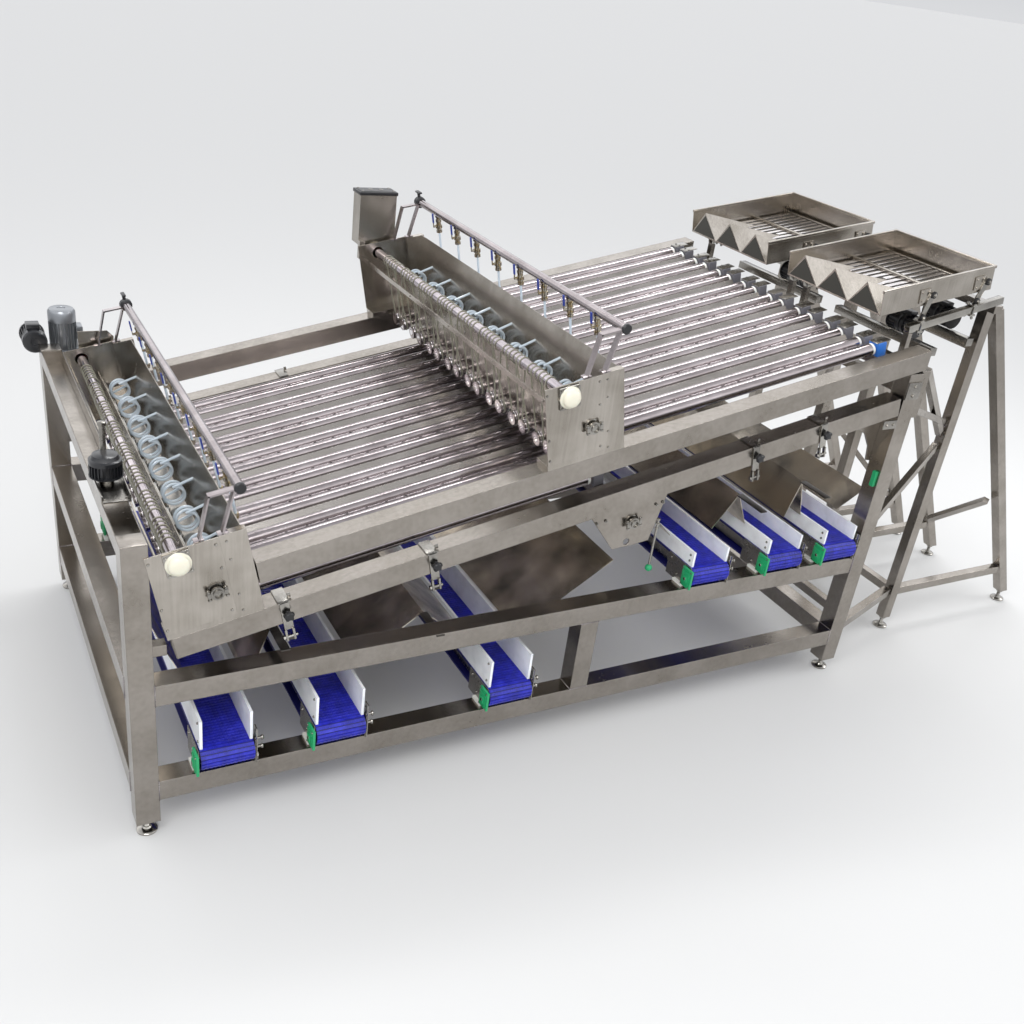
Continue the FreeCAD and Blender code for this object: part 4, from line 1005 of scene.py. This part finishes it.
# ---------------------------------------------------------------- feeding trays
# Two shaking trays of folded sheet: a thick rolled rim, a floor of long slots between
# strips under two cross bars, and the dark open mouths under three tapering dividers.
TRAY_START, TRAY_UP, TRAY_SLOPE = 3050, 1688, 9.1
TRAY = FLOOR @ Matrix.Translation(Vector((TRAY_START, 0, TRAY_UP)) * MM) @ Matrix.Rotation(
    -math.radians(TRAY_SLOPE), 4, "Y")
TRAY_LENGTH, TRAY_WIDTH, TRAY_DEPTH, TRAY_OFFSET, STRIPS = 640, 596, 108, 374, 14
slot_shadow = one_colour("open_slot_shadow", "#3b3a35", {"Roughness": 0.6})
# The strips' pale base colour is partly painted glint, brighter than the tray's own sheet, on top
# of the real gloss of their low roughness.
strip_painted_glint = steel("rolled_strip_painted_glint", "#dcd9d8", "#bdb9ba", 0.16, (2, 40, 40), bump=0.004)
for label, side in (("front", -1), ("back", 1)):
    body = f"{label}_feeding_tray"
    dress(banded_sheet, body)
    low_y, high_y = side * TRAY_OFFSET - TRAY_WIDTH / 2, side * TRAY_OFFSET + TRAY_WIDTH / 2
    bm, openings, strips_mesh = bmesh.new(), bmesh.new(), bmesh.new()
    for y in (low_y - 5, high_y - 8):
        block(bm, (-2, y, TRAY_DEPTH - 13), (TRAY_LENGTH + 5, y + 13, TRAY_DEPTH + 1), TRAY, 3)
    block(bm, (TRAY_LENGTH - 8, low_y, TRAY_DEPTH - 13),
          (TRAY_LENGTH + 5, high_y, TRAY_DEPTH + 1), TRAY, 3)
    pitch = (TRAY_WIDTH - 30) / STRIPS
    for strip in range(STRIPS):
        y = low_y + 15 + pitch * strip
        reach = 320 - 400 * abs((strip * 3 / STRIPS) % 1 - 0.5)
        block(strips_mesh, (reach, y + pitch * 0.18, 3), (TRAY_LENGTH - 40, y + pitch * 0.82, 11),
              TRAY, 1.5)
        block(openings, (reach + 4, y - pitch * 0.14, 3), (TRAY_LENGTH - 44, y + pitch * 0.14, 4),
              TRAY)
    block(bm, (384, low_y + 3, 11), (402, high_y - 3, 22), TRAY, 1.5)
    block(bm, (TRAY_LENGTH - 34, low_y + 3, 3), (TRAY_LENGTH - 22, high_y - 3, 16), TRAY, 1.5)
    for y, out in ((low_y, -1), (high_y, 1)):
        for along in (240, 560):
            block(bm, (along - 30, min(y, y + out * 5), 14), (along + 30, max(y, y + out * 5), 74),
                  TRAY, 1.5)
            for dx in (-18, 18):
                for dz in (26, 62):
                    screw(bm, (along + dx, y + out * 5, dz), (0, out, 0), 6, TRAY)
    channel = (TRAY_WIDTH - 6) / 6
    for divider in (1, 3, 5):
        peak = low_y + 3 + channel * divider
        mouth = [openings.verts.new(TRAY @ (Vector(spot) * MM)) for spot in (
            (-1, peak - channel + 12, 8), (-1, peak + channel - 12, 8),
            (-1, peak, TRAY_DEPTH - 4))]
        openings.faces.new(mouth)
    piece(f"{label}_tray_rim_and_strips", bm, banded_sheet, body)
    piece(f"{label}_tray_strips", strips_mesh, strip_painted_glint, body)
    piece(f"{label}_tray_slots", openings, slot_shadow, body, smooth=False)

# ---------------------------------------------------------------- tray drives
# Sloping base bars carry each tray on four flat link arms with rubber bushes. Two black
# finned shaking motors hang under each tray between its bars, with a stiff cross box.
rubber = one_colour("black_rubber_bush", "#1e1d1d", {"Roughness": 0.7})
bm, exciters, bushes = bmesh.new(), bmesh.new(), bmesh.new()


def square_bar(bm, start, end, side_z, side_y, bevel=1.5):
    """Adds a rectangular bar between two points in one upright plane."""
    start, end = Vector(start), Vector(end)
    lean = (end - start).normalized()
    turn = Matrix((lean, (0, 1, 0), lean.cross(Vector((0, 1, 0))))).transposed().to_4x4()
    frame_here = FLOOR @ Matrix.Translation(start * MM) @ turn
    block(bm, (0, -side_y / 2, -side_z / 2), ((end - start).length, side_y / 2, side_z / 2),
          frame_here, bevel)


for side in (-1, 1):
    outer = side * (TRAY_OFFSET + TRAY_WIDTH / 2)
    inner = side * (TRAY_OFFSET - TRAY_WIDTH / 2)
    for edge, away in ((outer, side), (inner, -side)):
        y = edge + away * 26
        square_bar(bm, (3200, y, 1636), (3740, y, 1750), 32, 32)
        arm_y = edge + away * 8
        for low, high in (((3290, 1678), (3318, 1776)), ((3600, 1742), (3634, 1828))):
            square_bar(bm, (low[0] - 3, arm_y, low[1] - 12), (high[0] + 3, arm_y, high[1] + 12),
                       28, 8, 2.5)
            for x, z in (low, high):
                lathe(bushes, [(0, 15), (8, 15), (10, 12)], (x, arm_y + away * 3, z),
                      (x, arm_y + away * 15, z), sides=20)
                screw(bm, (x, arm_y + away * 13, z), (0, away, 0), 8, FLOOR)
        for x, z in ((3262, 1650), (3560, 1712)):
            block(bm, (x - 16, y - 22, z - 26), (x + 16, y + 22, z - 18), bevel=1)
            for dy in (-19, 19):
                rod(bm, (x, y + dy, z - 40), (x, y + dy, z + 28), 4, sides=10)
                for up in (20, -36):
                    nut(bm, (x, y + dy, z + up), 7, 6)
            block(bm, (x - 14, y - 23, z + 16), (x + 14, y + 23, z + 22), bevel=1)
    low_y, high_y = sorted((outer, inner))
    for x, z in ((3432, 1585), (3650, 1620)):
        for end in (110, 260):
            motor(exciters, (x, low_y + end, z), (x, low_y + 185, z), 48, fins=18)
        block(exciters, (x - 22, low_y + 150, z + 40), (x + 22, low_y + 214, z + 60), bevel=4)
        block(bm, (x - 20, low_y - 10, z - 88), (x + 20, high_y + 10, z - 52), bevel=2)
piece("tray_base_bars_and_arms", bm, polished, stands_for=["tray_drives"])
piece("shaking_motors", exciters, black_paint)
piece("link_arm_bushes", bushes, rubber)

# ---------------------------------------------------------------- joints of the frame
# Bolted plates and stiffeners: a two-bolt plate at each right leg between the deck rails,
# a plate under the lower rail's end, and screws at the hangers and the tops of the stands.
bm = bmesh.new()
for out in (-1, 1):
    y = out * RAIL_FACE
    near, far = sorted((y, y + out * 6))
    block(bm, (3097, near, 1395), (3175, far, 1470), bevel=1.5)
    for z in (1412, 1452):
        screw(bm, (3136, y + out * 6, z), (0, out, 0), 8, FLOOR)
    block(bm, (3016, near, 1268), (3094, far, 1306), bevel=1.5)
    for x in (3036, 3074):
        screw(bm, (x, y + out * 6, 1287), (0, out, 0), 7, FLOOR)
    for x in (1660, 1700, 1925, 1955):
        screw(bm, (x - LOWER_START, y + out * 4, -108 if x < 1800 else -110), (0, out, 0), 6,
              DECKS["lower"])
for y in STAND_ROWS:
    for z in (1640, 1560):
        screw(bm, (3752, y, z), (1, 0, 0), 5, FLOOR)
piece("frame_plates", bm, polished)
